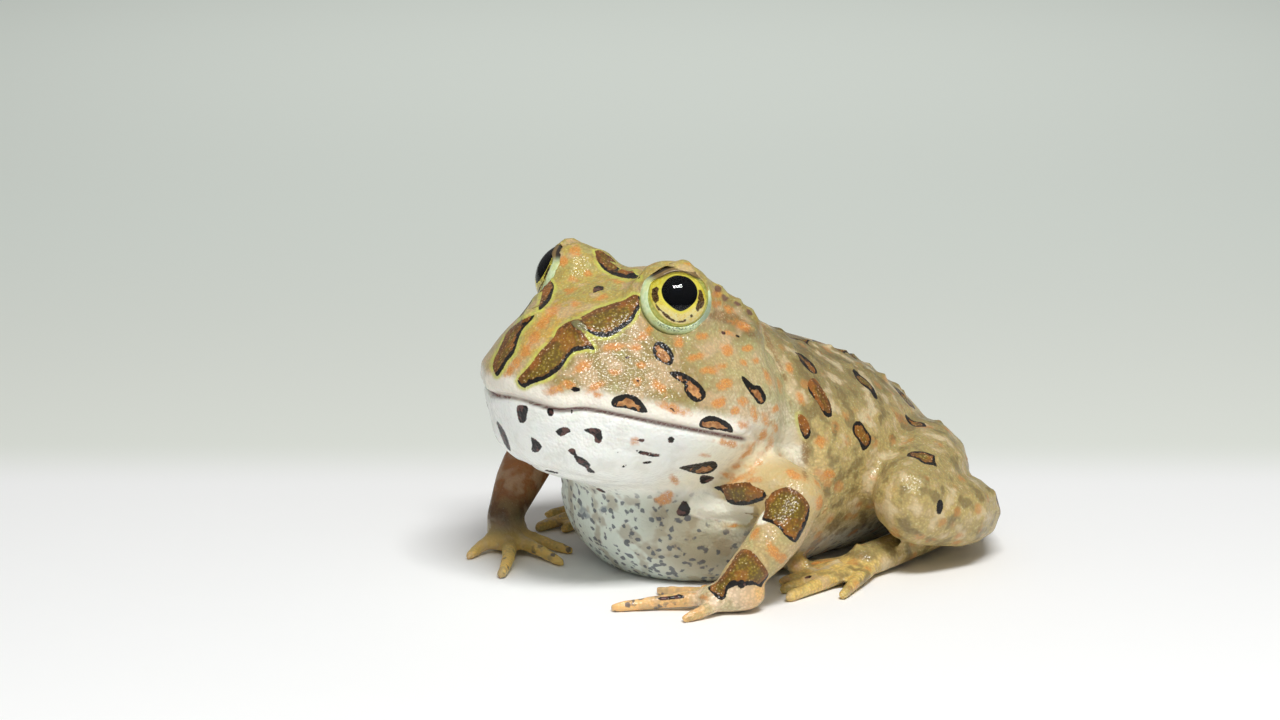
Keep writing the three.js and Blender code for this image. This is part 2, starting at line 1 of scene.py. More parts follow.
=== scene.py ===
# A half-grown Argentine horned frog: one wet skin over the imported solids, with its eyes, lid rims and horns
import math
import random
import bmesh
import bpy
import numpy as np
from mathutils import Matrix, Vector
from mathutils.bvhtree import BVHTree
from mathutils.kdtree import KDTree


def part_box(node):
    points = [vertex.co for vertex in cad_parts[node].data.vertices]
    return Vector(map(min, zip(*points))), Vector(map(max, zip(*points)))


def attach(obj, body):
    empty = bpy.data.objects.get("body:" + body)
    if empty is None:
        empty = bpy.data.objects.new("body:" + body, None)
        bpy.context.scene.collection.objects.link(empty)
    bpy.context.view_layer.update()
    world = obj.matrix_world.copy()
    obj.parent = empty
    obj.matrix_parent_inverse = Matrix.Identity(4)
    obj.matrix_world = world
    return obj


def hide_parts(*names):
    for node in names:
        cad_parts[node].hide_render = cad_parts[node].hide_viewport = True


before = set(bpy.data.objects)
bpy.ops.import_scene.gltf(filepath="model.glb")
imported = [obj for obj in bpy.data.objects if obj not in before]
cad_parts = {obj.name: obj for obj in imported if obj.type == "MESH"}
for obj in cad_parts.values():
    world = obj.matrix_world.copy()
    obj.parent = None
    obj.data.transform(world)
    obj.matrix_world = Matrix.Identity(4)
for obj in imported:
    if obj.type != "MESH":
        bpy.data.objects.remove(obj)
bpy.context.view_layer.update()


def unit(*parts):
    return np.array(parts) / np.linalg.norm(parts)


# The frog's own measure: millimetres, front of the head near Y = 0, floor at Z = 0, its left side at +X
MM = 0.001
EYE_CENTRE = np.array([8.7, 18.8, 35.5])
EYE_AXIS = unit(0.73, -0.57, 0.37)
EYE_RADIUS = 4.5
BALL_RADIUS = 4.4
EYE_SEGMENTS, EYE_RINGS = 112, 88

# The iris lies sunk in the ball, and the cornea shows it nearer and larger, as an image
IRIS_HEIGHT, IRIS_BOWL, IRIS_REACH = 2.95, 0.25, 3.48
IMAGE_HEIGHT, IMAGE_SCALE = 3.23, 1.095
CORNEA_CUT, CORNEA_INDEX = 2.4, 1.35

# Lids: degrees that their edge is drawn over the eye, and how much more above and to the photo's right
LID_RADIUS = 4.35
LID_TURN, LID_TURN_UP, LID_TURN_ACROSS = -0.5, 8.5, 7.1
LID_THINNING, LID_EDGE_THINNING = 0.55, 0.4
LID_OPENING = 67.5
RIM_SEGMENTS, RIM_RINGS, RIM_BAND = 144, 90, (44.5, 93.5)
RIM_INNER, RIM_INNER_TOP, RIM_OUTER = 52.6, 41.5, 91
RIM_THICKNESS = 0.3

# Horns
HORN_AXIS = unit(0.22, 0.12, 0.97)
HORN_FOOT, HORN_TIP, HORN_HEIGHT = 2, 0.3, 1.1

# Mouth line
MOUTH_FRONT_HEIGHT, MOUTH_CORNER_HEIGHT, MOUTH_CORNER_BACK = 26.2, 19.4, 23
LIP_WAVE_BACK, LIP_WAVE_DEPTH, LIP_WAVE_WIDTH = 2.4, 0.9, 1.3
GROOVE_DEPTH, GROOVE_WIDTH = 0.42, 0.26
UPPER_LIP_RISE, UPPER_LIP_PLACE, UPPER_LIP_WIDTH = 0.2, 0.75, 0.5
LOWER_LIP_RISE, LOWER_LIP_PLACE, LOWER_LIP_WIDTH = 0.08, -0.9, 0.6
eye_low, eye_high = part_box("eye_left")
LIPS_BACK = (eye_low.y + eye_high.y) / 2 / MM - EYE_CENTRE[1]

# The photograph's camera, in pixels of a 1280 x 720 image
PHOTO_WIDTH, PHOTO_HEIGHT = 1280, 720
CAMERA_AZIMUTH = math.radians(45)
CAMERA_ELEVATION = math.radians(13)
CAMERA_DISTANCE = 420
CAMERA_TARGET = np.array([10.2, 11.5, 29.8])
LENS_PIXELS = 3612
SENSOR_WIDTH = 36
PIXELS_PER_MM = LENS_PIXELS / CAMERA_DISTANCE
TO_CAMERA = np.array([
    math.sin(CAMERA_AZIMUTH) * math.cos(CAMERA_ELEVATION),
    -math.cos(CAMERA_AZIMUTH) * math.cos(CAMERA_ELEVATION),
    math.sin(CAMERA_ELEVATION),
])
CAMERA_RIGHT = np.array([math.cos(CAMERA_AZIMUTH), math.sin(CAMERA_AZIMUTH), 0])
CAMERA_UP = np.cross(TO_CAMERA, CAMERA_RIGHT)
CAMERA_PLACE = CAMERA_TARGET + CAMERA_DISTANCE * TO_CAMERA

# Skin
SEAM_COVER = 0.22
SKIN_CELL = 0.45
SMOOTH_TURNS = 14
GRAIN_DEPTH = 0.16
SKIN_SPECULAR, WET_COAT, WET_ROUGHNESS = 0.22, 0.48, 0.14

# Light and floor
KEY_LAMP_PLACE, KEY_LAMP_AIM = Vector((0.24, -0.165, 0.455)), Vector((0, -0.01, 0.02))
KEY_LAMP_WIDTH, KEY_LAMP_DEPTH, KEY_LAMP_POWER = 0.23, 0.09, 2.5
BACKDROP_LAMP_PLACE, BACKDROP_LAMP_ANGLE, BACKDROP_LAMP_POWER = (-0.354, 0.354, 0.4), 110, 2
SKY_BELOW, SKY_ABOVE, SKY_COLOUR = 0.13, 0.38, (1.0, 1.0, 0.985, 1)
FLOOR_HALF_WIDTH = 1.6


# Plain arithmetic
def smooth(low, high, value):
    """0 at low and 1 at high, with soft ends, where low may be the larger one."""
    t = np.clip((value - low) / (high - low), 0, 1)
    return t * t * (3 - 2 * t)


def bell(value, width):
    return np.exp(-((value / width) ** 2))


def frog_to_world(points):
    return (np.asarray(points, float) + [0, LIPS_BACK, 0]) * MM


def world_to_frog(points):
    return np.asarray(points, float) / MM - [0, LIPS_BACK, 0]


def mouth_height(y):
    t = np.clip(y / MOUTH_CORNER_BACK, 0, 1.3)
    wave = LIP_WAVE_DEPTH * bell(y - LIP_WAVE_BACK, LIP_WAVE_WIDTH)
    return MOUTH_FRONT_HEIGHT + (MOUTH_CORNER_HEIGHT - MOUTH_FRONT_HEIGHT) * t ** 1.03 - wave


def to_photo(points):
    """Pixels of the photograph where points of the frog fall."""
    ray = points - CAMERA_PLACE
    depth = -(ray @ TO_CAMERA)
    across = PHOTO_WIDTH / 2 + LENS_PIXELS * (ray @ CAMERA_RIGHT) / depth
    down = PHOTO_HEIGHT / 2 - LENS_PIXELS * (ray @ CAMERA_UP) / depth
    return np.stack([across, down], 1)


def mirrored(points):
    return points * [-1, 1, 1]


# Meshes as arrays
def points_of(mesh):
    flat = np.empty(len(mesh.vertices) * 3, np.float32)
    mesh.vertices.foreach_get("co", flat)
    return world_to_frog(flat.reshape(-1, 3))


def normals_of(mesh):
    flat = np.empty(len(mesh.vertices) * 3, np.float32)
    mesh.vertex_normals.foreach_get("vector", flat)
    return flat.reshape(-1, 3).astype(float)


def set_points(mesh, points):
    mesh.vertices.foreach_set("co", frog_to_world(points).astype(np.float32).ravel())
    mesh.update()


def mesh_of(work, name):
    """Mesh made from a finished bmesh."""
    mesh = bpy.data.meshes.new(name)
    work.to_mesh(mesh)
    work.free()
    return mesh


def linked(name, data):
    """Object of the scene that holds a mesh, lamp or camera."""
    holder = bpy.data.objects.new(name, data)
    bpy.context.scene.collection.objects.link(holder)
    return holder


def turn_to(axis):
    """Turn that brings the Z axis to another axis."""
    return Vector((0, 0, 1)).rotation_difference(Vector(axis)).to_matrix()


def edges_of(mesh):
    flat = np.empty(len(mesh.edges) * 2, np.int32)
    mesh.edges.foreach_get("vertices", flat)
    return flat.reshape(-1, 2)


def neighbour_mean(values, edges):
    """Mean of each vertex's neighbours, for one number or several at each vertex."""
    columns = values.reshape(len(values), -1)
    a, b = edges.T
    count = np.bincount(a, minlength=len(values)) + np.bincount(b, minlength=len(values))
    sums = [
        np.bincount(a, column[b], len(values)) + np.bincount(b, column[a], len(values))
        for column in columns.T
    ]
    return (np.stack(sums, 1) / np.maximum(count, 1)[:, None]).reshape(values.shape)


def relaxed(points, edges, turns, share):
    """Points smoothed without shrinking, each by its own share."""
    share = np.broadcast_to(share, len(points))[:, None]
    for _ in range(turns):
        for step in (0.6, -0.63):
            points = points + share * step * (neighbour_mean(points, edges) - points)
    return points


def merged_copy(name, mesh):
    """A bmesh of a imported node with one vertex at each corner."""
    piece = bmesh.new()
    piece.from_mesh(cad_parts[name].data)
    bmesh.ops.remove_doubles(piece, verts=piece.verts, dist=1e-6)
    piece.normal_update()
    for vertex in piece.verts:
        vertex.co += vertex.normal * SEAM_COVER * MM
    piece.to_mesh(mesh)
    piece.free()


# The skin's form
FLESH = [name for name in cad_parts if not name.startswith(("eye_", "eyelid_horn_"))]


def fused_skin():
    """One closed mesh over all the nodes of flesh."""
    whole = bmesh.new()
    scratch = bpy.data.meshes.new("scratch")
    for name in FLESH:
        merged_copy(name, scratch)
        whole.from_mesh(scratch)
    whole.to_mesh(scratch)
    whole.free()
    holder = linked("scratch", scratch)
    remesh = holder.modifiers.new("fuse", "REMESH")
    remesh.mode = "VOXEL"
    remesh.voxel_size = SKIN_CELL * MM
    fused = bpy.data.meshes.new_from_object(holder.evaluated_get(bpy.context.evaluated_depsgraph_get()))
    bpy.data.objects.remove(holder)
    bpy.data.meshes.remove(scratch)
    return fused


def eye_measure(points):
    """Height over the near eye's centre along its axis, and distance from that axis, for both eyes."""
    side = np.abs(points * [1, 0, 0]) + points * [0, 1, 1]
    ray = side - EYE_CENTRE
    height = ray @ EYE_AXIS
    return height, np.linalg.norm(ray - height[:, None] * EYE_AXIS, axis=1)


def fine_share(points):
    """1 where the head needs a finer mesh: round the eyes, along the mouth and on the snout."""
    height, radius = eye_measure(points)
    eye = (radius < 7.2) & (height > -1)
    above = points[:, 2] - mouth_height(points[:, 1])
    mouth = (np.abs(above) < 1.3) & (points[:, 1] < 26) & (np.abs(points[:, 0]) < 20)
    snout = (points[:, 1] < 10) & (points[:, 2] > 31)
    return eye | mouth | snout


def refine(mesh):
    """Halves the cells where the head needs it."""
    fine = fine_share(points_of(mesh))
    work = bmesh.new()
    work.from_mesh(mesh)
    work.verts.ensure_lookup_table()
    edges = [edge for edge in work.edges if fine[edge.verts[0].index] and fine[edge.verts[1].index]]
    bmesh.ops.subdivide_edges(work, edges=edges, cuts=1, use_grid_fill=True)
    work.to_mesh(mesh)
    work.free()


def photo_ray(tree, pixel):
    """Place on the skin behind a pixel of the photograph."""
    across, down = pixel
    ray = (
        CAMERA_RIGHT * (across - PHOTO_WIDTH / 2) / LENS_PIXELS
        - CAMERA_UP * (down - PHOTO_HEIGHT / 2) / LENS_PIXELS
        - TO_CAMERA
    )
    place = tree.ray_cast(Vector(frog_to_world(CAMERA_PLACE)), Vector(ray))[0]
    return None if place is None else world_to_frog(place)


def line_distance(points, line):
    """Distance of each point from a broken line in space."""
    best = np.full(len(points), 1e9)
    for a, b in zip(line[:-1], line[1:]):
        run = b - a
        t = np.clip((points - a) @ run / max(run @ run, 1e-9), 0, 1)
        best = np.minimum(best, np.linalg.norm(points - a - t[:, None] * run, axis=1))
    return best


# Folds and ridges in the photograph: pixels along each, height in mm (below 0 for a fold), half width in mm
FOLDS = {
    "neck fold": ([(752, 315), (760, 328), (768, 347), (778, 362), (786, 382), (790, 405)], -0.35, 0.55),
    "fold behind the mouth": ([(740, 437), (752, 430), (760, 440), (757, 455)], -0.22, 0.4),
    "second fold behind the mouth": ([(722, 484), (740, 474), (757, 466), (768, 452)], -0.28, 0.45),
    "throat cord": ([(672, 504), (684, 493), (699, 482)], 0.3, 0.45),
    "ridge behind the eye": ([(722, 316), (733, 320), (745, 326), (754, 333)], 0.35, 0.7),
    "cheek ridge": ([(741, 374), (750, 384), (757, 395)], 0.15, 0.5),
    "jaw fold": (
        [(507, 455), (525, 463), (545, 470), (568, 476), (590, 480), (614, 483), (640, 484)],
        -0.2, 0.5,
    ),
    "chest flap": ([(700, 506), (716, 511), (734, 512), (750, 511)], 0.3, 0.8),
    "chest fold": ([(694, 518), (712, 521), (732, 521), (748, 518)], -0.3, 0.7),
    "nostril rim": ([(570, 322), (578, 321), (586, 327), (587, 331)], 0.16, 0.3),
    "notch over the eye": ([(670, 262), (673, 266)], -0.3, 0.5),
}

# Warts that the photograph shows: pixel, radius in mm, height in mm
DARK_WARTS = [
    (718, 288, 0.6, 0.45), (726, 297, 0.6, 0.45), (738, 302, 0.6, 0.5), (751, 311, 0.6, 0.35),
    (767, 320, 0.6, 0.5), (780, 325, 0.6, 0.4), (796, 334, 0.7, 0.45), (807, 342, 0.6, 0.35),
    (592, 243, 0.7, 0.5), (600, 252, 0.6, 0.35), (612, 266, 0.7, 0.4), (622, 272, 0.5, 0.4),
]
PALE_WARTS = [
    (656, 258, 0.55, 0.45), (577, 326, 0.8, 0.4), (751, 329, 0.6, 0.35), (616, 281, 0.5, 0.2),
    (617, 294, 0.5, 0.25), (586, 256, 0.6, 0.2), (575, 304, 0.35, 0.2),
]
SKIN_WARTS = 420


def raised(points, normals, tree):
    """Height of folds, lips and warts over the fused skin, in mm along the normal."""
    height = np.zeros(len(points))
    above = points[:, 2] - mouth_height(points[:, 1])
    along = smooth(22.6, 20.2, points[:, 1])
    outer = smooth(0.2, 0.5, np.linalg.norm(normals[:, :2], axis=1))
    height += along * outer * (
        UPPER_LIP_RISE * bell(above - UPPER_LIP_PLACE, UPPER_LIP_WIDTH)
        + LOWER_LIP_RISE * bell(above - LOWER_LIP_PLACE, LOWER_LIP_WIDTH)
        - GROOVE_DEPTH * bell(above, GROOVE_WIDTH)
    )
    sides = (points, mirrored(points))
    for pixels, rise, width in FOLDS.values():
        line = [place for place in (photo_ray(tree, pixel) for pixel in pixels) if place is not None]
        for side in sides:
            height += rise * bell(line_distance(side, line), width)
    for across, down, radius, rise in DARK_WARTS + PALE_WARTS:
        place = photo_ray(tree, (across, down))
        if place is None:
            continue
        for side in sides:
            height += rise * bell(np.linalg.norm(side - place, axis=1), radius)
    spots = KDTree(len(points))
    for index, point in enumerate(points):
        spots.insert(point, index)
    spots.balance()
    draw = random.Random(11)
    for _ in range(SKIN_WARTS):
        seed = draw.randrange(len(points))
        x, y, z = points[seed]
        back = normals[seed][2] > 0.15 and y > 26
        if not back:
            continue
        radius = draw.uniform(0.35, 0.8)
        rise = draw.uniform(0.12, 0.42) * (0.6 if y < 33 else 1)
        for _, index, gap in spots.find_range(Vector((x, y, z)), radius * 2.2):
            height[index] += rise * math.exp(-((gap / radius) ** 2))
    return height


def shape_lids(points):
    """Lid edges drawn to a clean round opening over each eye, thin behind and above it."""
    height, radius = eye_measure(points)
    mirror = np.concatenate([np.sign(points[:, :1]), np.ones((len(points), 2))], 1)
    axis, centre = EYE_AXIS * mirror, EYE_CENTRE * mirror
    ray = points - centre
    outward = ray - height[:, None] * axis
    outward /= np.maximum(np.linalg.norm(outward, axis=1), 1e-6)[:, None]
    inside = (height > 0.4) & (radius < LID_RADIUS) & (height < 7)
    points = points + outward * np.where(inside, LID_RADIUS - radius, 0)[:, None]
    reach = np.linalg.norm(points - centre, axis=1)
    polar = np.degrees(np.arccos(np.clip(np.sum((points - centre) * axis, 1) / reach, -1, 1)))
    rise = np.sum(outward * CAMERA_UP * mirror, 1)
    across = np.sum(outward * CAMERA_RIGHT * mirror, 1)
    weight = smooth(105, 62, polar) * smooth(7, 5.2, reach)
    bend = np.radians(polar - (LID_TURN + LID_TURN_UP * rise + LID_TURN_ACROSS * across) * weight)[:, None]
    behind = LID_THINNING * smooth(0, 0.8, 0.75 * across + 0.65 * rise) * smooth(125, 95, polar)
    thin = np.maximum(behind, LID_EDGE_THINNING * smooth(86, 66, polar))
    reach = (reach - thin * smooth(7, 5.2, reach) * smooth(4.3, 4.8, reach))[:, None]
    drawn = centre + reach * (np.cos(bend) * axis + np.sin(bend) * outward)
    return np.where((weight > 0)[:, None] | (thin > 0)[:, None], drawn, points)


def build_skin():
    mesh = fused_skin()
    points = points_of(mesh)
    edges = edges_of(mesh)
    torso = smooth(30, 36, points[:, 1]) * smooth(21, 17, np.abs(points[:, 0]))
    points = relaxed(points, edges, SMOOTH_TURNS, 1)
    points = relaxed(points, edges, SMOOTH_TURNS * 2, torso)
    set_points(mesh, points)
    points = points - normals_of(mesh) * SEAM_COVER
    set_points(mesh, points)
    refine(mesh)
    edges = edges_of(mesh)
    points = relaxed(points_of(mesh), edges, 3, 1)
    points = shape_lids(points)
    set_points(mesh, points)
    normals = normals_of(mesh)
    tree = tree_of(mesh)
    height = raised(points, normals, tree)
    points = points + normals * height[:, None]
    points[:, 2] = np.maximum(points[:, 2], 0)
    set_points(mesh, points)
    return mesh


def tree_of(mesh):
    work = bmesh.new()
    work.from_mesh(mesh)
    tree = BVHTree.FromBMesh(work)
    work.free()
    return tree


# Markings: outlines in the photograph's pixels
BLOTCHES = {
    "near lower snout": [
        (560, 327), (557, 330), (554, 336.6), (547.4, 344), (539.3, 352), (532, 362.3), (526, 369.6),
        (519.5, 376.2), (517.3, 381), (520.2, 386), (525, 388), (531, 384.5), (540, 381.4), (546, 379.2),
        (553.2, 374.8), (559, 370.4), (563, 366), (567, 359.3), (573, 352.7), (580, 350.9), (587.7, 349.1),
        (593.6, 350.2), (594.3, 347.6), (590.7, 342.5), (587, 338.1), (583.7, 333), (577, 327), (570, 321),
    ],
    "near upper snout": [
        (586.4, 330.6), (590.6, 333.7), (596.7, 336.3), (603.6, 337.5), (609.7, 336.7), (616, 333.7),
        (623.5, 328.3), (630.4, 323), (634.2, 318.4), (636.5, 313), (640, 307.7), (640, 297), (634, 294.5),
        (629, 297), (623, 300.5), (616.6, 301.9), (605.9, 305.7), (596.7, 308.4), (586.8, 313.8),
        (577.6, 318.4), (570, 319.9), (576, 326),
    ],
    "far lower snout": [
        (534, 315), (522, 320), (507, 330), (504, 338), (499.7, 347.6), (496, 355), (493, 362.3),
        (492.7, 367.4), (494.5, 372.6), (496.7, 377), (500.4, 373.3), (504.4, 366.7), (507.7, 360.8),
        (513, 355), (515.8, 348.3), (519.5, 336.6), (524, 328), (532, 320),
    ],
    "far upper snout": [
        (549, 280), (543.9, 286.2), (540.8, 298.5), (538.3, 310), (543, 308), (550, 300.5), (553, 292.3),
        (554, 285.2),
    ],
    "far brow": [
        (588, 236), (596, 236), (604, 244), (612, 254), (622, 264), (636, 272), (640, 278), (630, 279),
        (614, 275.5), (603, 269), (597, 260), (594, 249),
    ],
    "upper arm": [
        (713, 488), (723, 493), (728, 502.7), (742, 505.8), (757, 502.7), (766, 498), (764, 490.6),
        (753.3, 485.8), (748.5, 482), (735.2, 483), (721.8, 485),
    ],
    "upper forearm": [
        (768, 498), (772.7, 491.8), (784.8, 487), (794.5, 489.4), (803, 495.5), (809, 504), (809.7, 512.4),
        (805.5, 526), (797, 541.5), (792, 541.5), (784.8, 535.5), (778.8, 528), (771.5, 523.3),
        (761.8, 519.7), (764.2, 512.4), (764.5, 502.7),
    ],
    "lower forearm": [
        (744.8, 548.8), (736.4, 552.4), (730.3, 563.3), (721.8, 575.5), (707.3, 585.2), (713.3, 594.8),
        (720.6, 600.3), (726, 597.3), (727.9, 590), (736, 586), (745, 586), (754.5, 585), (761.8, 587.6),
        (767.9, 580.3), (768, 572), (760.6, 561), (753.3, 552.4),
    ],
    "flank": [
        (808, 382), (814, 378), (822, 388), (830, 402), (832, 416), (825, 416), (817, 402), (809, 392),
    ],
    "low flank": [(798, 414), (806, 418), (811, 432), (806, 440), (800, 430)],
}

# Spots with a dark ring and a brown middle
RINGS = {
    "cheek oval": [
        (655, 343), (660, 341.5), (666, 344), (672, 351), (674, 358), (671, 365.5), (664, 363.5),
        (655, 358), (652.5, 350),
    ],
    "cheek chain": [
        (669, 373), (676, 371), (684, 373), (691, 377), (698, 382), (704, 389), (706, 396), (701, 401.5),
        (694, 402), (688, 396.5), (684, 390), (684, 384), (678, 381),
    ],
    "front lip oval": [
        (611, 404), (613, 398), (621, 394.5), (629, 394), (637, 397), (643, 403), (648, 412), (640, 412.5),
        (626, 408.5), (615, 407.5),
    ],
    "rear lip oval": [
        (699.5, 428), (700, 421), (705, 417), (712, 415.5), (721, 418.5), (729, 423), (733, 429),
        (731.5, 434), (722, 431), (709, 430),
    ],
    "chin triangle": [
        (679, 467.3), (700, 463), (714, 461), (717.5, 467), (709, 473.5), (697, 474), (687, 471),
    ],
    "cheek hook": [
        (740, 374), (746, 378), (754, 385), (759, 385), (763, 390), (766.5, 398), (763, 404), (758, 404),
        (754, 398), (749, 392), (743, 382),
    ],
}

# Solid dark marks
DARKS = {
    "brow comma": [(594, 286.5), (603, 286), (603.5, 290), (598, 291), (596, 294), (593, 293)],
    "lip hanger": [
        (516.5, 407), (522, 405), (528, 407), (527, 415), (526, 421), (522, 423.5), (518.5, 420),
    ],
    "second lip hanger": [(547.5, 409), (550, 406), (553, 409), (554, 413), (550.6, 416.8), (547, 413)],
    "third lip hanger": [(570.3, 411), (571.6, 409), (573, 411), (571.6, 414)],
    "lip fleck": [(570, 388), (575, 386.5), (581, 388.5), (579, 391.5), (573, 391.5)],
    "chin butterfly": [
        (555.5, 431), (560, 428), (566, 427), (572.5, 431), (566, 434), (562.5, 437), (557, 434),
    ],
    "chin boot": [
        (583, 430.5), (592, 427.7), (600.5, 429.5), (602, 434.5), (602.5, 440), (598.5, 444), (594, 440.5),
        (593.5, 435.5),
    ],
    "chin lightning": [
        (567.5, 450), (574.5, 448.5), (577, 455), (584, 458.5), (590.5, 464.5), (589.5, 467), (596, 473),
        (588, 472), (585, 467.5), (577.5, 463), (573.5, 456.5),
    ],
    "chin diamond": [
        (530.5, 437), (534, 438), (541.5, 445), (541, 449), (537, 452.5), (531.5, 451), (532, 445),
    ],
    "far chin slash": [
        (496, 421), (500, 424), (505.5, 433), (510, 446), (511, 453), (506, 448), (501, 436),
    ],
    "low chin slash": [(544.6, 469.5), (551, 468.5), (558, 471), (565, 476), (554, 474.5), (545, 472)],
    "throat slash": [(563.8, 477.6), (568, 478), (572.4, 480.8), (567, 480.4)],
    "blue slash": [(595.4, 488.5), (600, 488), (607, 493.7), (601, 492)],
    "chin dot": [(671, 436.2), (674.8, 440), (671, 443.6), (667, 440)],
    "red chin dot": [(637, 440.5), (641, 438.4), (645, 440), (642, 442.6)],
    "long chin slash": [(635, 452), (637.5, 450), (648, 452), (661, 454.6), (657, 457), (645, 455.5)],
    "small chin slash": [(613.3, 453.8), (618.6, 451.4), (617, 454)],
    "low slash": [(640.6, 463.3), (646, 461.2), (653.3, 461.2), (648, 463.8)],
    "lower slash": [(620.2, 466.6), (624, 464.6), (628.3, 465.4), (624, 467.6)],
    "corner mark": [(702, 475), (715, 478), (704, 484), (699.5, 481.5)],
    "throat mark": [(684, 500), (690.5, 509), (687, 516), (676, 514)],
    "under the eye": [(744, 378), (741, 374.5), (740, 375)],
    "temple dots": [(722, 331), (726, 332.5), (725, 335), (721, 333)],
    "second temple dot": [(736, 334.5), (740, 336), (738, 338), (735, 336.5)],
    "cheek dot": [(625, 356.4), (629, 356), (630, 358.6), (626.4, 359)],
    "low cheek dot": [(636.5, 379), (640, 380.5), (639, 383), (636, 382)],
    "lip notch": [(669, 407.5), (673, 408.5), (677, 412), (672, 411)],
    "finger mark": [
        (657, 597), (661, 594.5), (672, 593), (683, 595), (684, 598), (672, 599.5), (660, 600.5),
    ],
    "wrist dot": [(737.5, 582), (742, 579.5), (746, 584), (742, 589), (738, 587)],
    "flank dot": [(803.5, 576), (808, 573), (812.5, 577), (808, 581.5)],
    "shoulder dot": [(784, 455), (788, 452.5), (792, 456), (788, 461)],
    "neck dot": [(770, 358), (775, 357), (780, 364), (776, 364.5)],
}

# Leaf of olive skin round the near nostril, and cream folds of the chest
LEAVES = {
    "nostril leaf": [
        (570, 320), (575, 319), (581, 321.5), (586, 326), (588, 330.5), (583, 331), (577, 329),
        (572.5, 325),
    ],
}
PALE_PATCHES = {
    "chest flap": [
        (690, 500), (700, 493), (716, 498), (735, 503), (756, 508), (768, 514), (766, 523), (748, 525),
        (722, 521), (700, 518), (688, 512),
    ],
}

# Orange flecks: pixel, half length, half width, slope of the long side in degrees (falling to the right)
FLECKS = [
    (702, 335.7, 5.4, 4, 0), (679, 341.5, 6, 4.4, 65), (694.6, 357, 9, 4, -14), (726.8, 350, 7, 5.6, 50),
    (722.3, 366, 5, 3.5, -10), (708, 370.5, 8, 3.2, 5), (725, 384.4, 8, 6, -10), (742, 401.8, 4.6, 4.4, 0),
    (718.8, 402.7, 7.2, 5.2, -25), (735.7, 410.7, 4.6, 4.4, 0), (754.5, 414.3, 7, 3, 80),
    (747.3, 348.2, 5.2, 4, 0), (756.3, 360.7, 3.5, 3, 0), (743.8, 362.5, 3.8, 3.4, 60),
    (768, 377.7, 7.4, 3.2, 70), (778.6, 385.7, 7, 3, 78), (775, 409, 4.5, 4.4, 0), (775, 427, 5.6, 3, 80),
    (744.6, 425, 5.6, 3.8, 20), (660, 387.8, 10, 4.2, 44), (673.7, 409, 17, 4.4, 19),
    (716, 303.6, 5, 3.5, 10), (727.7, 309, 5.6, 3.6, 30), (742, 325.5, 12, 3.6, 20),
    (728.6, 333.5, 7, 2.4, 16), (642.6, 336, 7.4, 3.4, -25), (648.5, 329.5, 4.2, 3, -30),
    (616, 346.7, 13, 4, -9), (582.5, 366.4, 10, 5.4, -33), (636.5, 347.4, 5, 3.5, 0),
    (613.6, 371.2, 5.6, 3.2, 0), (641, 365, 4.6, 3.5, 15), (637.3, 381.4, 5, 4, 0),
    (567.7, 384.2, 7, 4.4, 15), (594.4, 387.2, 10, 3.4, -28), (597, 394.8, 4.4, 2.4, 0),
    (554, 390.2, 9.5, 4.4, -8), (635, 441.5, 5, 4, 0), (705, 455.4, 4.6, 2, 5), (675, 480.4, 5.4, 3.6, 50),
    (665, 498.8, 11, 6, -20), (725, 474.3, 4, 2.4, 5), (736.7, 466.6, 6, 2.2, -20),
    (728, 443.5, 11, 3.6, 12), (740, 478, 15, 3, -24), (575, 250.5, 6, 5.4, 0), (563, 261.7, 5, 5, 0),
    (588, 273, 4, 3, 0), (571.4, 279, 5, 2.4, 0), (617.3, 281, 7, 2.6, 0), (636, 275.5, 6, 4, -25),
    (570.4, 290.3, 6, 3.4, -20), (602, 297.4, 6, 2.4, -15), (552, 312, 9, 4.5, -48), (543, 323, 9, 5, -50),
    (535, 338, 9, 4.5, -60), (526, 351, 9, 4.5, -58), (517, 362, 8, 4, -52), (510, 371, 6, 3.6, -40),
    (575, 303.6, 4, 3.4, 0), (794.5, 474.8, 11, 4.6, 30), (754.5, 533, 5, 7.4, 20),
    (771.5, 548.8, 9.5, 5, 55), (781, 558.5, 7, 4.6, 0), (640, 595.6, 7.5, 3, 0),
    (694, 588.7, 10, 4.4, -10), (703.3, 599, 6, 3.6, 0), (820, 442, 7, 5, 60), (829.7, 473.6, 6, 5, 0),
    (817.6, 563.3, 6, 4.4, -20), (833, 556, 6, 5, 0), (790, 369, 6, 3.5, 70), (800, 398, 6, 3.5, 75),
    (734, 528, 8, 4.5, 0), (660, 600, 9, 2.2, 0), (620, 599, 4, 2.4, 0), (716, 592, 5, 3, 20),
    (652, 261, 5, 2.4, -30), (688, 262, 4.5, 3, 30), (633, 277, 7, 3.4, -12), (716, 294, 5, 4, 20),
    (746, 454, 8, 2.6, -40), (762, 436, 10, 3, -62), (757, 464, 8, 2.6, -45), (744, 475, 9, 2.4, -20),
    (770, 444, 8, 3, -75), (752, 481, 9, 2.6, -15), (731, 476, 6, 2.2, -10), (819, 480, 8, 5, 70),
    (821, 505, 9, 5, 80), (816, 529, 7, 5, 60), (827, 542, 7, 5, 0), (765, 420, 7, 3, 75),
    (752, 446, 7, 2.2, -50),
]

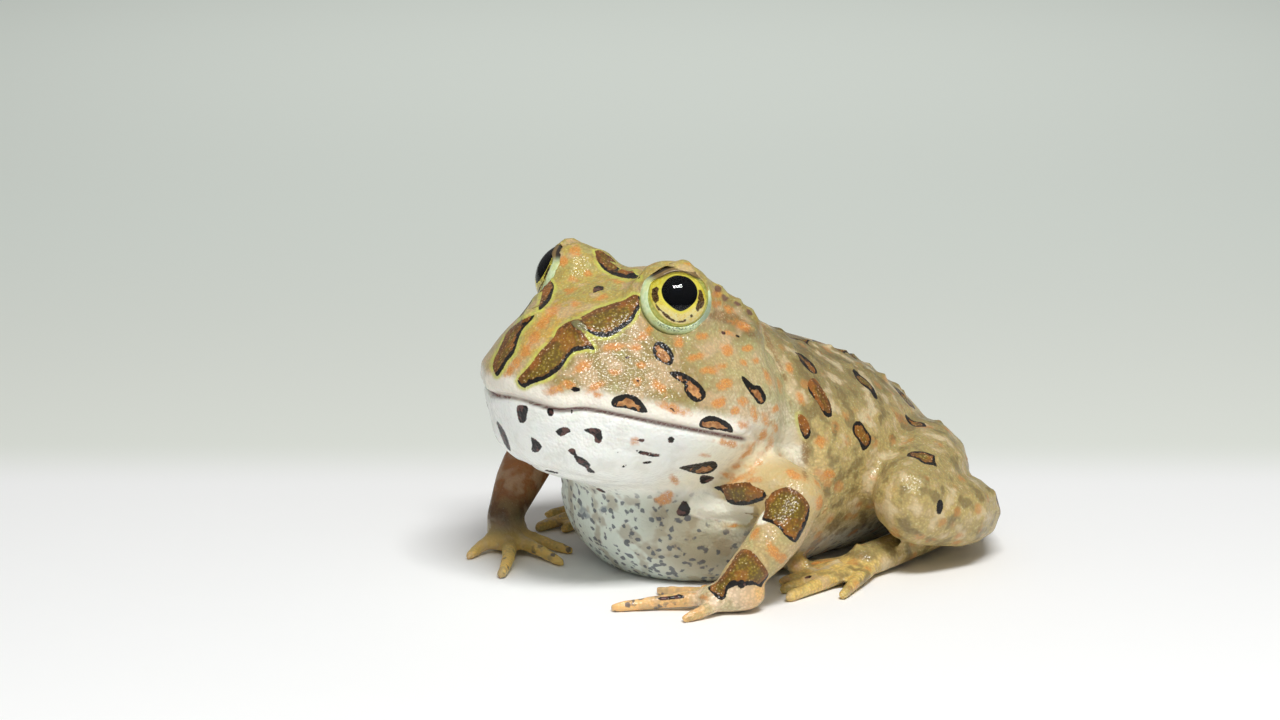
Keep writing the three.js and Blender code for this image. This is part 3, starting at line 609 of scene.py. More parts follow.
# Blotches where the photograph can't show them: place on either side and radius, in the frog's measure
HIDDEN_BLOTCHES = [
    (5.2, 33, 27, 3.1), (12.5, 37, 24, 2.6), (5, 42, 26, 3.3), (13.5, 47, 21, 2.8), (4.6, 51.5, 23, 3),
    (12, 57, 18, 2.6), (4.2, 60.5, 17, 2.4), (18.6, 41, 17, 2.4), (19.5, 50, 12, 2.4), (24, 46, 13, 2.6),
    (26.5, 50, 8, 2.2), (27, 57, 7, 2.2), (21, 60, 8, 2.4), (17, 53, 16.5, 2.2), (22, 38, 4.6, 1.8),
    (19, 31, 2.4, 1.4), (28, 44, 9, 1.8),
]

# Soft blue-grey clouds on the throat: pixel, radius
CLOUDS = [
    (604, 508, 4), (582, 510.5, 4.5), (561, 511.4, 5), (586.7, 516.2, 4), (544.6, 516.7, 5),
    (564.3, 486, 3.4),
]

# Soft brown patches behind the eye, and painted shade along the neck fold and down the flank fold
BROWN_PATCHES_AND_FOLD_SHADE = {
    "temple": [
        (709, 316), (716, 311), (727, 311), (738, 316), (749, 323), (742, 327), (730, 324), (717, 321),
    ],
    "rear temple": [(744, 326), (752, 331), (757, 336), (752, 338), (745, 333)],
    "neck line": [
        (752, 309), (757, 312), (766, 330), (776, 352), (785, 372), (788, 382), (784, 380), (774, 360),
        (763, 338),
    ],
    "flank fold": [(803, 440), (808, 441), (809, 455), (808, 478), (803, 476), (802, 455)],
}


def smooth_outline(corners, steps=5):
    """Closed smooth curve through an outline's corners."""
    corner = np.asarray(corners, float)
    before, after, later = np.roll(corner, 1, 0), np.roll(corner, -1, 0), np.roll(corner, -2, 0)
    parts = []
    for step in range(steps):
        t = step / steps
        parts.append(
            0.5 * (2 * corner + (after - before) * t
                   + (2 * before - 5 * corner + 4 * after - later) * t ** 2
                   + (3 * corner - before - 3 * after + later) * t ** 3)
        )
    return np.stack(parts, 1).reshape(-1, 2)


def outline_distance(pixels, corners, reach=26):
    """Signed distance from an outline in pixels, below 0 inside, and no more than the reach."""
    ring = smooth_outline(corners)
    result = np.full(len(pixels), float(reach))
    near = np.all((pixels > ring.min(0) - reach) & (pixels < ring.max(0) + reach), axis=1)
    p = pixels[near]
    best = np.full(len(p), float(reach))
    odd = np.zeros(len(p), bool)
    for a, b in zip(ring, np.roll(ring, -1, 0)):
        run = b - a
        t = np.clip((p - a) @ run / max(run @ run, 1e-9), 0, 1)
        best = np.minimum(best, np.linalg.norm(p - a - t[:, None] * run, axis=1))
        rise = run[1] if abs(run[1]) > 1e-9 else 1e-9
        crossed = (a[1] > p[:, 1]) != (b[1] > p[:, 1])
        odd ^= crossed & (p[:, 0] < a[0] + (p[:, 1] - a[1]) * run[0] / rise)
    result[near] = np.where(odd, -best, best)
    return result


def group_distance(pixels, outlines):
    """Signed distance from the nearest outline of a group, in mm."""
    best = np.full(len(pixels), 26.0)
    for corners in outlines.values():
        best = np.minimum(best, outline_distance(pixels, corners))
    return best / PIXELS_PER_MM


def fleck_distance(pixels, flecks):
    """Signed distance from the nearest tilted oval, in mm."""
    best = np.full(len(pixels), 26.0)
    for across, down, length, width, slope in flecks:
        c, s = math.cos(math.radians(slope)), math.sin(math.radians(slope))
        ray = pixels - [across, down]
        u = (ray[:, 0] * c + ray[:, 1] * s) / length
        v = (ray[:, 1] * c - ray[:, 0] * s) / width
        best = np.minimum(best, (np.hypot(u, v) - 1) * min(length, width))
    return best / PIXELS_PER_MM


def sight(points, normals, tree):
    """How well the photograph's camera sees each point, from 0 to 1."""
    ray = CAMERA_PLACE - points
    ray /= np.linalg.norm(ray, axis=1)[:, None]
    facing = np.sum(normals * ray, axis=1)
    seen = smooth(0.04, 0.22, facing)
    start = frog_to_world(points + normals * 0.25)
    for index in np.nonzero(seen > 0)[0]:
        if tree.ray_cast(Vector(start[index]), Vector(ray[index]))[0] is not None:
            seen[index] = 0
    return seen


def hidden_blotches(points):
    """Signed distance in mm from blotches that the photograph doesn't show, on the back, sides and legs."""
    draw = random.Random(5)
    side = np.abs(points[:, 0])
    best = np.full(len(points), 3.0)
    waves = np.sin(points * [1.7, 1.3, 1.9] + [1, 0, 2])
    wobble = 0.35 * waves[:, 0] * waves[:, 1] * waves[:, 2]
    for x, y, z, radius in HIDDEN_BLOTCHES:
        stretch = draw.uniform(0.75, 1.3)
        across, along, up = (side - x) * stretch, (points[:, 1] - y) / stretch, (points[:, 2] - z) * 0.6
        gap = np.sqrt(across ** 2 + along ** 2 + up ** 2)
        best = np.minimum(best, gap - radius * draw.uniform(0.85, 1.15))
    return best + wobble


# Ground colours, as a painter's mixture of red, green and blue from 0 to 255
def colour(red, green, blue):
    channel = np.array([red, green, blue]) / 255
    return np.where(channel <= 0.04045, channel / 12.92, ((channel + 0.055) / 1.055) ** 2.4)


CROWN = colour(180, 157, 68)
SNOUT_TOP = colour(206, 166, 76)
BROW = colour(189, 168, 84)
CHEEK = colour(194, 173, 122)
FRONT_CHEEK = colour(154, 134, 78)
REAR_CHEEK = colour(198, 186, 138)
TEMPLE = colour(132, 122, 74)
NECK = colour(238, 220, 178)
LIP = colour(249, 242, 226)
CHIN = colour(249, 251, 244)
REAR_JAW = colour(248, 242, 218)
THROAT = colour(255, 255, 246)
BELLY = colour(222, 230, 218)
BELLY_SHADE = colour(178, 172, 146)
FLANK = colour(216, 190, 126)
BACK = colour(152, 136, 84)
ARM = colour(198, 173, 118)
FAR_ARM = colour(158, 98, 50)
FAR_WRIST = colour(64, 46, 24)
FINGER = colour(240, 192, 126)
PALM = colour(240, 220, 190)
FAR_HAND = colour(238, 202, 112)
LEG = colour(180, 160, 98)
ORANGE = colour(204, 122, 46)
PALE_ORANGE = colour(218, 160, 88)
RIM = colour(200, 200, 92)
BLOTCH_BROWN = colour(136, 88, 38)
BLOTCH_OLIVE = colour(136, 114, 34)
INK = colour(22, 18, 14)
CLOUD = colour(130, 140, 146)
# Dark red-brown for the mouth line: painted shade in the mouth's slit
MOUTH_SLIT_SHADE = colour(108, 40, 34)
LID_GREEN = colour(200, 222, 170)
PATCH_CREAM = colour(246, 244, 226)
LEAF = colour(128, 122, 80)


def blend(base, tone, share):
    return base + (tone - base) * share[:, None]


# The belly's oval, and the middle of an arm from the shoulder to the wrist
BELLY_CENTRE, BELLY_RADII = np.array([0, 31, 8.6]), np.array([16.9, 15.6, 12])
ARM_LINE = np.array([
    (15, 25.5, 13.6), (21.4, 26.2, 12.6), (21.6, 22.2, 8), (20, 17.6, 3.6), (18.4, 16.2, 1.8),
])


def regions(points, normals):
    """Share of each region of the body at each point, from 0 to 1."""
    side = np.abs(points[:, 0])
    y, z = points[:, 1], points[:, 2]
    above = z - mouth_height(y)
    crown_edge = np.interp(y, [0, 4, 8, 14, 22, 28, 34], [1.5, 2.6, 3.4, 7.2, 9.6, 13, 17])
    head = smooth(33.5, 30.5, y - 0.12 * (z - 22)) * smooth(9, 12, z)
    arm = smooth(5.6, 4, line_distance(np.stack([side, y, z], 1), ARM_LINE)) * smooth(18.2, 16, z)
    belly_reach = np.sum(((points - BELLY_CENTRE) / BELLY_RADII) ** 2, axis=1)
    front = smooth(34, 22, y) * smooth(15, 11, side) * smooth(19, 15, z)
    under = smooth(15.5, 11, z - 0.12 * (y - 20)) * smooth(0.25, -0.25, normals[:, 2]) * smooth(19, 13, side)
    throat = np.maximum(under, front) * (1 - head * smooth(12, 14, z))
    return {
        "above": above,
        "head": head,
        "crown": head * smooth(1.4, -0.8, side - crown_edge) * smooth(29.5, 31, z),
        "brow": head * smooth(34.8, 36.2, z) * smooth(10, 13, y),
        "chin": head * smooth(0.3, -0.3, above) * (1 - arm),
        "pale": head * smooth(3, 1.6, above),
        "arm": arm,
        "far": smooth(0.5, -0.5, points[:, 0]),
        "throat": throat,
        "belly": throat * smooth(14, 10, z),
        "hands": smooth(5, 3.2, z) * smooth(24, 21, y) * smooth(1.1, 1.25, belly_reach),
        "hind": smooth(15.5, 18, side) * smooth(33, 36, y),
        "toes": smooth(3.6, 2.2, z) * smooth(42, 37, y) * smooth(13, 15, side) * smooth(23, 26, y),
        "flank": smooth(30, 34, y),
        "neck": smooth(1, -1, above) * smooth(19.5, 23, y) * smooth(11.5, 14, z) * bell(side - 14.5, 3.6),
        "palm": smooth(4.6, 2.6, np.hypot(side - 18.8, y - 16.6)),
    }


def ground_colours(points, normals, share):
    """Colour of the skin between its markings, from its place on the body."""
    y, z = points[:, 1], points[:, 2]
    above, head = share["above"], share["head"]
    tone = np.tile(BACK, (len(points), 1))
    tone = blend(tone, FLANK, smooth(24, 16, z) * smooth(-0.1, 0.25, 0.7 - normals[:, 2]))
    tone = blend(tone, CHEEK, head)
    tone = blend(tone, FRONT_CHEEK, head * smooth(22, 13, y) * smooth(0, 6, points[:, 0]))
    tone = blend(tone, REAR_CHEEK, head * smooth(21, 27, y) * 0.85)
    tone = blend(tone, TEMPLE, head * smooth(28.6, 31.5, z) * smooth(21, 25, y) * 0.9)
    tone = blend(tone, CROWN, share["crown"])
    tone = blend(tone, SNOUT_TOP, share["crown"] * smooth(13, 6, y))
    tone = blend(tone, BROW, share["brow"])
    tone = blend(tone, LIP, head * smooth(3.2, 1.7, above) * smooth(25, 20, y))
    tone = blend(tone, LIP, head * smooth(8, 2, above) * smooth(15, 21, y) * 0.4)
    tone = blend(tone, CHIN, share["chin"])
    tone = blend(tone, REAR_JAW, share["chin"] * smooth(13, 19, y))
    tone = blend(tone, THROAT, share["throat"])
    tone = blend(tone, BELLY, share["belly"])
    tone = blend(tone, BELLY_SHADE, share["belly"] * smooth(3, 11, points[:, 0]))
    tone = blend(tone, ARM, share["arm"])
    tone = blend(tone, NECK, share["neck"] * smooth(34, 24, y) * 0.8)
    tone = blend(tone, FAR_ARM, share["arm"] * share["far"] * smooth(2.5, 5, z) * 0.95)
    tone = blend(tone, FINGER, share["hands"])
    tone = blend(tone, PALM, share["hands"] * share["palm"] * 0.8)
    tone = blend(tone, FAR_HAND, share["hands"] * share["far"] * smooth(3.8, 2.6, z) * 0.9)
    tone = blend(tone, FAR_WRIST, share["arm"] * share["far"] * bell(z - 4.3, 2.5) * 0.9)
    tone = blend(tone, LEG, share["hind"] * 0.7)
    tone = blend(tone, FAR_HAND, share["toes"] * 0.8)
    # Dark line along the mouth: painted shade in the mouth's slit, over the modelled groove
    mouth_slit_shade = bell(above, 0.24) * head * smooth(22, 20.8, y)
    return blend(tone, MOUTH_SLIT_SHADE, mouth_slit_shade * smooth(0.5, 4, np.abs(points[:, 0]) + y))


# A blotch's brown middle lies off its outline, which leaves a dark edge on one side: pixels and mm
BLOTCH_CORE_SHIFT, RING_CORE_SHIFT = (1.4, 4), (0, -1.4)
CORE_INSET = 0.35


def paint(mesh, tree):
    """Writes the skin's colours and its distances from every kind of marking on a mesh."""
    points, normals = points_of(mesh), normals_of(mesh)
    edges = edges_of(mesh)
    near = sight(points, normals, tree)
    far = sight(mirrored(points), mirrored(normals), tree)
    for _ in range(2):
        near = neighbour_mean(near, edges)
        far = neighbour_mean(far, edges)
    views = [(to_photo(points), near), (to_photo(mirrored(points)), far * (1 - near))]
    rest = 1 - near - views[1][1]
    share = regions(points, normals)
    elsewhere = hidden_blotches(points)

    def gathered(distance, marks, beyond=3, shift=(0, 0)):
        total = rest * beyond
        for pixels, seen in views:
            total = total + seen * np.clip(distance(pixels + shift, marks), -1.6, 3)
        return total

    dark_warts = [(across, down, 7 * radius, 7 * radius, 0) for across, down, radius, _ in DARK_WARTS]
    clouds = [(across, down, radius, radius, 0) for across, down, radius in CLOUDS]
    layers = {
        "blotch": gathered(group_distance, BLOTCHES, elsewhere),
        "core": gathered(group_distance, BLOTCHES, elsewhere + CORE_INSET, BLOTCH_CORE_SHIFT),
        "ring": gathered(group_distance, RINGS),
        "ring_core": gathered(group_distance, RINGS, shift=RING_CORE_SHIFT),
        "ink": gathered(group_distance, DARKS),
        "fleck": gathered(fleck_distance, FLECKS),
        "cloud": gathered(fleck_distance, clouds),
        "leaf": gathered(group_distance, LEAVES),
        "patch": gathered(group_distance, PALE_PATCHES),
        "wart": gathered(fleck_distance, dark_warts),
        # Brown patches behind the eye, and painted shade along the neck and flank folds
        "patch_and_fold_shade": gathered(group_distance, BROWN_PATCHES_AND_FOLD_SHADE),
        "hide": np.maximum(np.maximum(share["flank"], share["neck"]), 0.15 * share["arm"] * share["far"]),
        "rim": share["head"] * (1 - share["chin"]) * (1 - share["arm"]),
        "tint": (1 - np.maximum(share["pale"], share["throat"])) * (1 - 0.7 * share["arm"] * share["far"]),
        "belly": share["belly"],
    }
    covered = np.where(share["flank"] > 0.5, elsewhere + 1.2 * near, 3)
    layers["blotch"] = np.minimum(layers["blotch"], covered)
    layers["core"] = np.minimum(layers["core"], covered + CORE_INSET)
    layers["fleck"] = layers["fleck"] + 3 * share["throat"] * smooth(9, 7, points[:, 2])
    for name, values in layers.items():
        write_attribute(mesh, name, "FLOAT", values)
    tone = ground_colours(points, normals, share)
    write_attribute(mesh, "ground", "FLOAT_COLOR", np.concatenate([tone, np.ones((len(tone), 1))], 1))


def write_attribute(mesh, name, kind, values):
    made = mesh.attributes.new(name, kind, "POINT")
    field = "color" if kind == "FLOAT_COLOR" else "value"
    made.data.foreach_set(field, np.asarray(values, np.float32).ravel())


# Shader nodes
class Sheet:
    """The node tree of one material."""

    def __init__(self, name):
        self.material = bpy.data.materials.new(name)
        self.material.use_nodes = True
        self.tree = self.material.node_tree
        self.shader = self.tree.nodes["Principled BSDF"]
        self.place = self.add("ShaderNodeTexCoord").outputs["Object"]

    def add(self, kind, **settings):
        made = self.tree.nodes.new(kind)
        for name, value in settings.items():
            setattr(made, name, value)
        return made

    def feed(self, socket, value):
        if isinstance(value, bpy.types.NodeSocket):
            self.tree.links.new(value, socket)
        elif hasattr(socket.default_value, "__len__") and len(socket.default_value) == 4:
            socket.default_value = (*value, 1)
        else:
            socket.default_value = value

    def reckon(self, kind, *values):
        made = self.add("ShaderNodeMath", operation=kind)
        for socket, value in zip(made.inputs, values):
            self.feed(socket, value)
        return made.outputs[0]

    def plus(self, a, b):
        return self.reckon("ADD", a, b)

    def minus(self, a, b):
        return self.reckon("SUBTRACT", a, b)

    def times(self, a, b):
        return self.reckon("MULTIPLY", a, b)

    def scaled(self, value, factor, shift):
        return self.reckon("MULTIPLY_ADD", value, factor, shift)

    def share(self, value, low, high):
        """0 at low and 1 at high, with soft ends."""
        made = self.add("ShaderNodeMapRange", interpolation_type="SMOOTHSTEP")
        self.feed(made.inputs["Value"], value)
        low_end, high_end, from_value, to_value = (low, high, 0, 1) if low < high else (high, low, 1, 0)
        self.feed(made.inputs["From Min"], low_end)
        self.feed(made.inputs["From Max"], high_end)
        self.feed(made.inputs["To Min"], from_value)
        self.feed(made.inputs["To Max"], to_value)
        return made.outputs["Result"]

    def mix(self, share, base, tone):
        made = self.add("ShaderNodeMix", data_type="RGBA", clamp_factor=True)
        self.feed(made.inputs["Factor"], share)
        sockets = [s for s in made.inputs if s.type == "RGBA"]
        self.feed(sockets[0], base)
        self.feed(sockets[1], tone)
        return [s for s in made.outputs if s.type == "RGBA"][0]

    def over(self, tone, colour_over, *shares):
        """A colour laid over a tone by the product of shares."""
        share = shares[0]
        for weight in shares[1:]:
            share = self.times(share, weight)
        return self.mix(share, tone, colour_over)

    def noise(self, size, detail=2.0, offset=0.0):
        """Noise from 0 to 1 whose lumps have a size in mm."""
        made = self.add("ShaderNodeTexNoise")
        place = self.place
        if offset:
            moved = self.add("ShaderNodeMapping")
            moved.inputs["Location"].default_value = (offset, offset, offset)
            self.feed(moved.inputs["Vector"], self.place)
            place = moved.outputs["Vector"]
        self.feed(made.inputs["Vector"], place)
        self.feed(made.inputs["Scale"], 1 / (size * MM))
        self.feed(made.inputs["Detail"], detail)
        return made.outputs[0]

    def cells(self, size):
        """Distance from the middles of scattered cells that have a size in mm."""
        made = self.add("ShaderNodeTexVoronoi")
        self.feed(made.inputs["Vector"], self.place)
        self.feed(made.inputs["Scale"], 1 / (size * MM))
        return made.outputs["Distance"]

    def set(self, name, value):
        self.feed(self.shader.inputs[name], value)

    def bump(self, height, depth, **settings):
        """Normal of a surface with a fine relief, whose depth is in mm."""
        made = self.add("ShaderNodeBump", **settings)
        self.feed(made.inputs["Height"], height)
        self.feed(made.inputs["Distance"], depth * MM)
        return made

    def attribute(self, name, output="Fac"):
        return self.add("ShaderNodeAttribute", attribute_name=name).outputs[output]


def skin_material():
    sheet = Sheet("wet frog skin")
    share, over, mix, attribute = sheet.share, sheet.over, sheet.mix, sheet.attribute
    speckle = sheet.noise(0.22, 3)
    wave = sheet.noise(0.9, 2, 0.31)
    broad = sheet.noise(2.6, 2, 0.77)
    grain = sheet.cells(0.36)
    pebble = sheet.cells(0.85)
    tint, hide = attribute("tint"), attribute("hide")
    edge_shake = sheet.scaled(speckle, 0.16, -0.08)
    wave_shake = sheet.scaled(wave, 0.3, -0.15)

    tone = attribute("ground", "Color")
    tone = over(tone, colour(172, 172, 116), share(broad, 0.5, 0.64), tint, 0.45)
    tone = over(tone, colour(222, 178, 122), share(broad, 0.48, 0.34), tint, 0.5)
    tone = over(tone, colour(150, 128, 84), share(wave, 0.46, 0.3), tint, 0.4)
    # Grain middles lighter and the hollows between grains darker: painted highlights and painted shade on the
    # skin's grain
    tone = over(tone, colour(242, 236, 218), share(grain, 0.3, 0.1), share(wave, 0.4, 0.6), tint, 0.35)
    tone = over(tone, colour(146, 124, 88), share(grain, 0.42, 0.62), tint, 0.3)
    tone = over(tone, colour(196, 190, 176), share(broad, 0.5, 0.36), 0.18)
    lump = sheet.minus(sheet.cells(2.7), sheet.times(broad, 0.35))
    tone = over(tone, colour(112, 86, 50), share(broad, 0.53, 0.64), hide, 0.6)
    tone = over(tone, colour(216, 204, 162), share(broad, 0.45, 0.33), hide, 0.5)
    tone = over(tone, colour(196, 132, 70), share(lump, 0.18, -0.02), hide, share(wave, 0.3, 0.5), 0.6)
    tone = over(tone, colour(150, 132, 96), share(broad, 0.48, 0.36), attribute("belly"), 0.5)
    dot = sheet.plus(sheet.cells(1.1), sheet.scaled(wave, 1.3, -0.65))
    tone = over(tone, colour(62, 70, 86), share(dot, 0.38, 0.2), attribute("belly"), 0.8)
    patch = sheet.plus(attribute("patch"), wave_shake)
    tone = over(tone, PATCH_CREAM, share(patch, 0.25, -0.2), 0.9)
    # Brown patches behind the eye, and painted shade along the neck and flank folds
    patch_and_fold_shade = sheet.plus(attribute("patch_and_fold_shade"), wave_shake)
    tone = over(tone, colour(132, 98, 52), share(patch_and_fold_shade, 0.25, -0.2), share(speckle, 0.3, 0.5), 0.7)
    fleck = sheet.plus(attribute("fleck"), sheet.scaled(wave, 0.8, -0.4))
    fleck_tone = mix(share(speckle, 0.42, 0.66), ORANGE, PALE_ORANGE)
    tone = over(tone, fleck_tone, share(fleck, 0.22, -0.25), share(speckle, 0.24, 0.5), 0.85)
    cloud = sheet.plus(attribute("cloud"), sheet.scaled(wave, 1.2, -0.6))
    tone = over(tone, CLOUD, share(cloud, 0.15, -0.3), 0.7)
    wart = sheet.plus(attribute("wart"), wave_shake)
    tone = over(tone, colour(104, 70, 64), share(wart, 0.15, -0.15), 0.85)
    blotch = sheet.plus(attribute("blotch"), edge_shake)
    tone = over(tone, RIM, share(blotch, 0.55, 0.1), attribute("rim"), share(wave, 0.25, 0.5), 0.85)
    inside = mix(share(sheet.plus(blotch, wave_shake), -0.3, -0.9), BLOTCH_BROWN, BLOTCH_OLIVE)
    inside = over(inside, colour(84, 44, 22), share(wave, 0.44, 0.28), 0.5)
    # Darker in the hollows between grains: painted shade
    inside = over(inside, colour(72, 44, 24), share(grain, 0.38, 0.58), 0.55)
    inside = over(inside, colour(176, 106, 40), share(broad, 0.5, 0.62), 0.4)
    # Pale glints on the grain middles: painted highlights
    inside = over(inside, colour(222, 206, 172), share(grain, 0.28, 0.12), share(speckle, 0.42, 0.6), 0.9)
    core = sheet.plus(attribute("core"), sheet.scaled(wave, 0.9, -0.45))
    inside = mix(share(sheet.plus(core, edge_shake), 0.02, -0.08), INK, inside)
    tone = mix(share(blotch, 0.02, -0.05), tone, inside)
    ring = sheet.plus(attribute("ring"), edge_shake)
    ring_core = sheet.plus(attribute("ring_core"), sheet.scaled(wave, 1.3, -0.65))
    ring_tone = mix(share(wave, 0.35, 0.65), colour(144, 92, 48), colour(206, 152, 96))
    ring_tone = mix(share(sheet.plus(ring_core, edge_shake), -0.38, -0.5), INK, ring_tone)
    tone = mix(share(ring, 0.02, -0.05), tone, ring_tone)
    leaf = sheet.plus(attribute("leaf"), sheet.times(edge_shake, 0.6))
    tone = over(tone, INK, share(leaf, 0.12, 0.06), share(wave, 0.4, 0.55), 0.8)
    tone = over(tone, LEAF, share(leaf, 0.08, -0.12), 0.85)
    ink = sheet.plus(attribute("ink"), edge_shake)
    ink_tone = mix(share(wave, 0.5, 0.62), colour(19, 13, 12), colour(92, 60, 54))
    tone = mix(share(ink, 0.04, -0.06), tone, ink_tone)
    sheet.set("Base Color", tone)
    relief = sheet.plus(sheet.times(grain, 0.5), sheet.times(pebble, 0.5))
    bump = sheet.bump(relief, GRAIN_DEPTH, invert=True)
    sheet.feed(bump.inputs["Strength"], 0.9)
    for name in ("Normal", "Coat Normal"):
        sheet.set(name, bump.outputs["Normal"])
    sheet.set("Roughness", sheet.scaled(wave, 0.25, 0.34))
    sheet.set("Subsurface Weight", 0.12)
    sheet.set("Subsurface Scale", 0.5 * MM)
    sheet.set("Specular IOR Level", SKIN_SPECULAR)
    sheet.set("Coat Weight", WET_COAT)
    sheet.set("Coat Roughness", WET_ROUGHNESS)
    return sheet.material


# Eyes, in the photograph's pixels for the near one
PUPIL = [
    (661.3, 290.8), (662.1, 286.1), (664.8, 281.5), (668.8, 277.5), (673.4, 275.5), (679.2, 274.8),
    (685, 275.8), (690.2, 278.1), (694.2, 282.1), (696.7, 286.1), (697.9, 290.8), (697.7, 295.4),
    (696.5, 299.4), (694.2, 302.9), (690.7, 306.3), (686.7, 309.2), (681.5, 311.3), (678.1, 310.7),
    (673.4, 308.3), (668.8, 304.6), (664.8, 300.6), (662.5, 296.5),
]
IRIS = [
    (647.7, 289.6), (647.7, 281), (652, 274.6), (663, 269.6), (678, 268.2), (688.4, 271), (698.7, 278.5),
    (705.6, 288.5), (708.8, 298), (708.2, 306), (705.6, 313.8), (700, 321), (690.7, 325.6), (678, 326.2),
    (668.8, 323.3), (660, 316.6), (652, 306.2), (648.2, 297.7),
]
IRIS_MARKS = {
    "front mark": [
        (651, 288.4), (655, 286.4), (658.2, 287.9), (657.3, 293.1), (658.5, 297.7), (657.3, 300.6),
        (654.4, 302.9), (652.1, 300), (651, 295.4),
    ],
    "rear mark": [
        (699.4, 289.6), (702.9, 290.8), (704.6, 295.4), (706, 301.1), (704.6, 305.7), (701.1, 309.2),
        (698.8, 311.5), (696.5, 309.2), (697.7, 304.6), (698.8, 298.8), (699.4, 294.2),
    ],
    "lower line": [
        (654, 302), (657.6, 306.9), (663.4, 312), (667.5, 315.2), (671.5, 319), (675.8, 321.3),
        (682.7, 321.9), (685.8, 319.8), (687.2, 321), (684, 323.2), (675.6, 322.7), (670.2, 320.4),
        (664.6, 316.8), (661, 312.4), (656.2, 308),
    ],
    "dot": [(690.5, 316), (692.5, 314.6), (693.5, 316.6), (691.5, 318)],
}


def eye_material():
    sheet = Sheet("golden iris")
    share, mix, attribute = sheet.share, sheet.mix, sheet.attribute
    pupil, iris, low = attribute("pupil"), attribute("iris"), attribute("low")
    streak = sheet.noise(0.35, 3)
    fleck = sheet.noise(0.16, 2, 0.4)
    gold = mix(share(streak, 0.3, 0.7), colour(244, 222, 60), colour(252, 240, 108))
    pale = mix(share(streak, 0.3, 0.7), colour(254, 228, 132), colour(255, 244, 184))
    gold = mix(low, gold, pale)
    gold = mix(share(pupil, 0.5, 0.15), gold, colour(252, 238, 96))
    gold = mix(share(iris, -0.25, 0.0), gold, colour(206, 196, 84))
    gold = mix(sheet.times(share(fleck, 0.62, 0.74), 0.4), gold, colour(150, 110, 48))
    shake = sheet.scaled(streak, 0.36, -0.18)
    marks = share(sheet.plus(attribute("marks"), shake), 0.07, -0.02)
    brown = mix(share(fleck, 0.4, 0.6), colour(62, 42, 20), colour(120, 92, 56))
    gold = mix(marks, gold, brown)
    ring = mix(share(streak, 0.35, 0.65), colour(188, 196, 96), colour(226, 222, 128))
    tone = mix(share(iris, 0.04, -0.03), ring, gold)
    tone = mix(share(pupil, 0.03, -0.03), tone, colour(5, 7, 12))
    sheet.set("Base Color", tone)
    sheet.set("Normal", sheet.bump(streak, 0.03).outputs["Normal"])
    sheet.set("Roughness", sheet.scaled(streak, 0.2, 0.5))
    sheet.set("Specular IOR Level", 0.0)
    return sheet.material


def cornea_material():
    sheet = Sheet("wet clear cornea")
    film = sheet.noise(0.8, 2)
    sheet.set("Base Color", (1.0, 1.0, 1.0))
    sheet.set("Transmission Weight", 1.0)
    sheet.set("IOR", CORNEA_INDEX)
    sheet.set("Roughness", sheet.times(film, 0.006))
    return sheet.material


def finished(name, mesh, material, slot_name, *nodes):
    """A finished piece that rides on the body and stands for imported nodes."""
    mesh.name = name
    mesh.materials.clear()
    mesh.materials.append(material)
    mesh.polygons.foreach_set("use_smooth", [True] * len(mesh.polygons))
    piece = linked(name, mesh)
    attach(piece, "root")
    if nodes:
        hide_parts(*nodes)
    return piece


def sided(vector, side):
    return np.array([vector[0] * side, vector[1], vector[2]])


def build_eye(side):
    """Eyeball with its poles on the eye's axis, and a shallow iris in front."""
    work = bmesh.new()
    bmesh.ops.create_uvsphere(work, u_segments=EYE_SEGMENTS, v_segments=EYE_RINGS, radius=BALL_RADIUS * MM)
    for vertex in work.verts:
        out = math.hypot(vertex.co.x, vertex.co.y) / MM
        vertex.co.z = min(vertex.co.z, (IRIS_HEIGHT - IRIS_BOWL * (out / IRIS_REACH) ** 2) * MM)
    mesh = placed(work, side, "eye")
    points = points_of(mesh) * [side, 1, 1]
    ray = points - EYE_CENTRE
    height = ray @ EYE_AXIS
    outward = ray - height[:, None] * EYE_AXIS
    through = EYE_CENTRE + IMAGE_HEIGHT * EYE_AXIS + IMAGE_SCALE * outward
    inside = (np.linalg.norm(outward, axis=1) < IRIS_REACH + 0.05) & (height > 0)
    pixels = to_photo(np.where(inside[:, None], through, points))
    for name, outlines in (("pupil", {"pupil": PUPIL}), ("iris", {"iris": IRIS}), ("marks", IRIS_MARKS)):
        write_attribute(mesh, name, "FLOAT", np.where(height > 0, group_distance(pixels, outlines), 3))
    write_attribute(mesh, "low", "FLOAT", smooth(-0.2, 2.4, -(outward @ CAMERA_UP)))
    return mesh


def placed(work, side, name):
    """Mesh of a shape modelled round the origin along Z, turned to the eye's axis and set in the eye."""
    place = Matrix.Translation(Vector(frog_to_world(sided(EYE_CENTRE, side))))
    bmesh.ops.transform(work, matrix=place @ turn_to(sided(EYE_AXIS, side)).to_4x4(), verts=work.verts)
    return mesh_of(work, name)


def build_cornea(side):
    """Clear dome over the iris, closed behind inside the eyeball."""
    work = bmesh.new()
    bmesh.ops.create_uvsphere(work, u_segments=EYE_SEGMENTS, v_segments=EYE_RINGS, radius=EYE_RADIUS * MM)
    cut = bmesh.ops.bisect_plane(
        work, geom=work.verts[:] + work.edges[:] + work.faces[:],
        plane_co=(0, 0, CORNEA_CUT * MM), plane_no=(0, 0, -1), clear_outer=True,
    )
    rim = [part for part in cut["geom_cut"] if isinstance(part, bmesh.types.BMEdge)]
    bmesh.ops.edgeloop_fill(work, edges=rim)
    bmesh.ops.recalc_face_normals(work, faces=work.faces)
    return placed(work, side, "cornea")


def polar_angle(vertex):
    return math.degrees(math.acos(max(-1, min(1, vertex.co.z))))


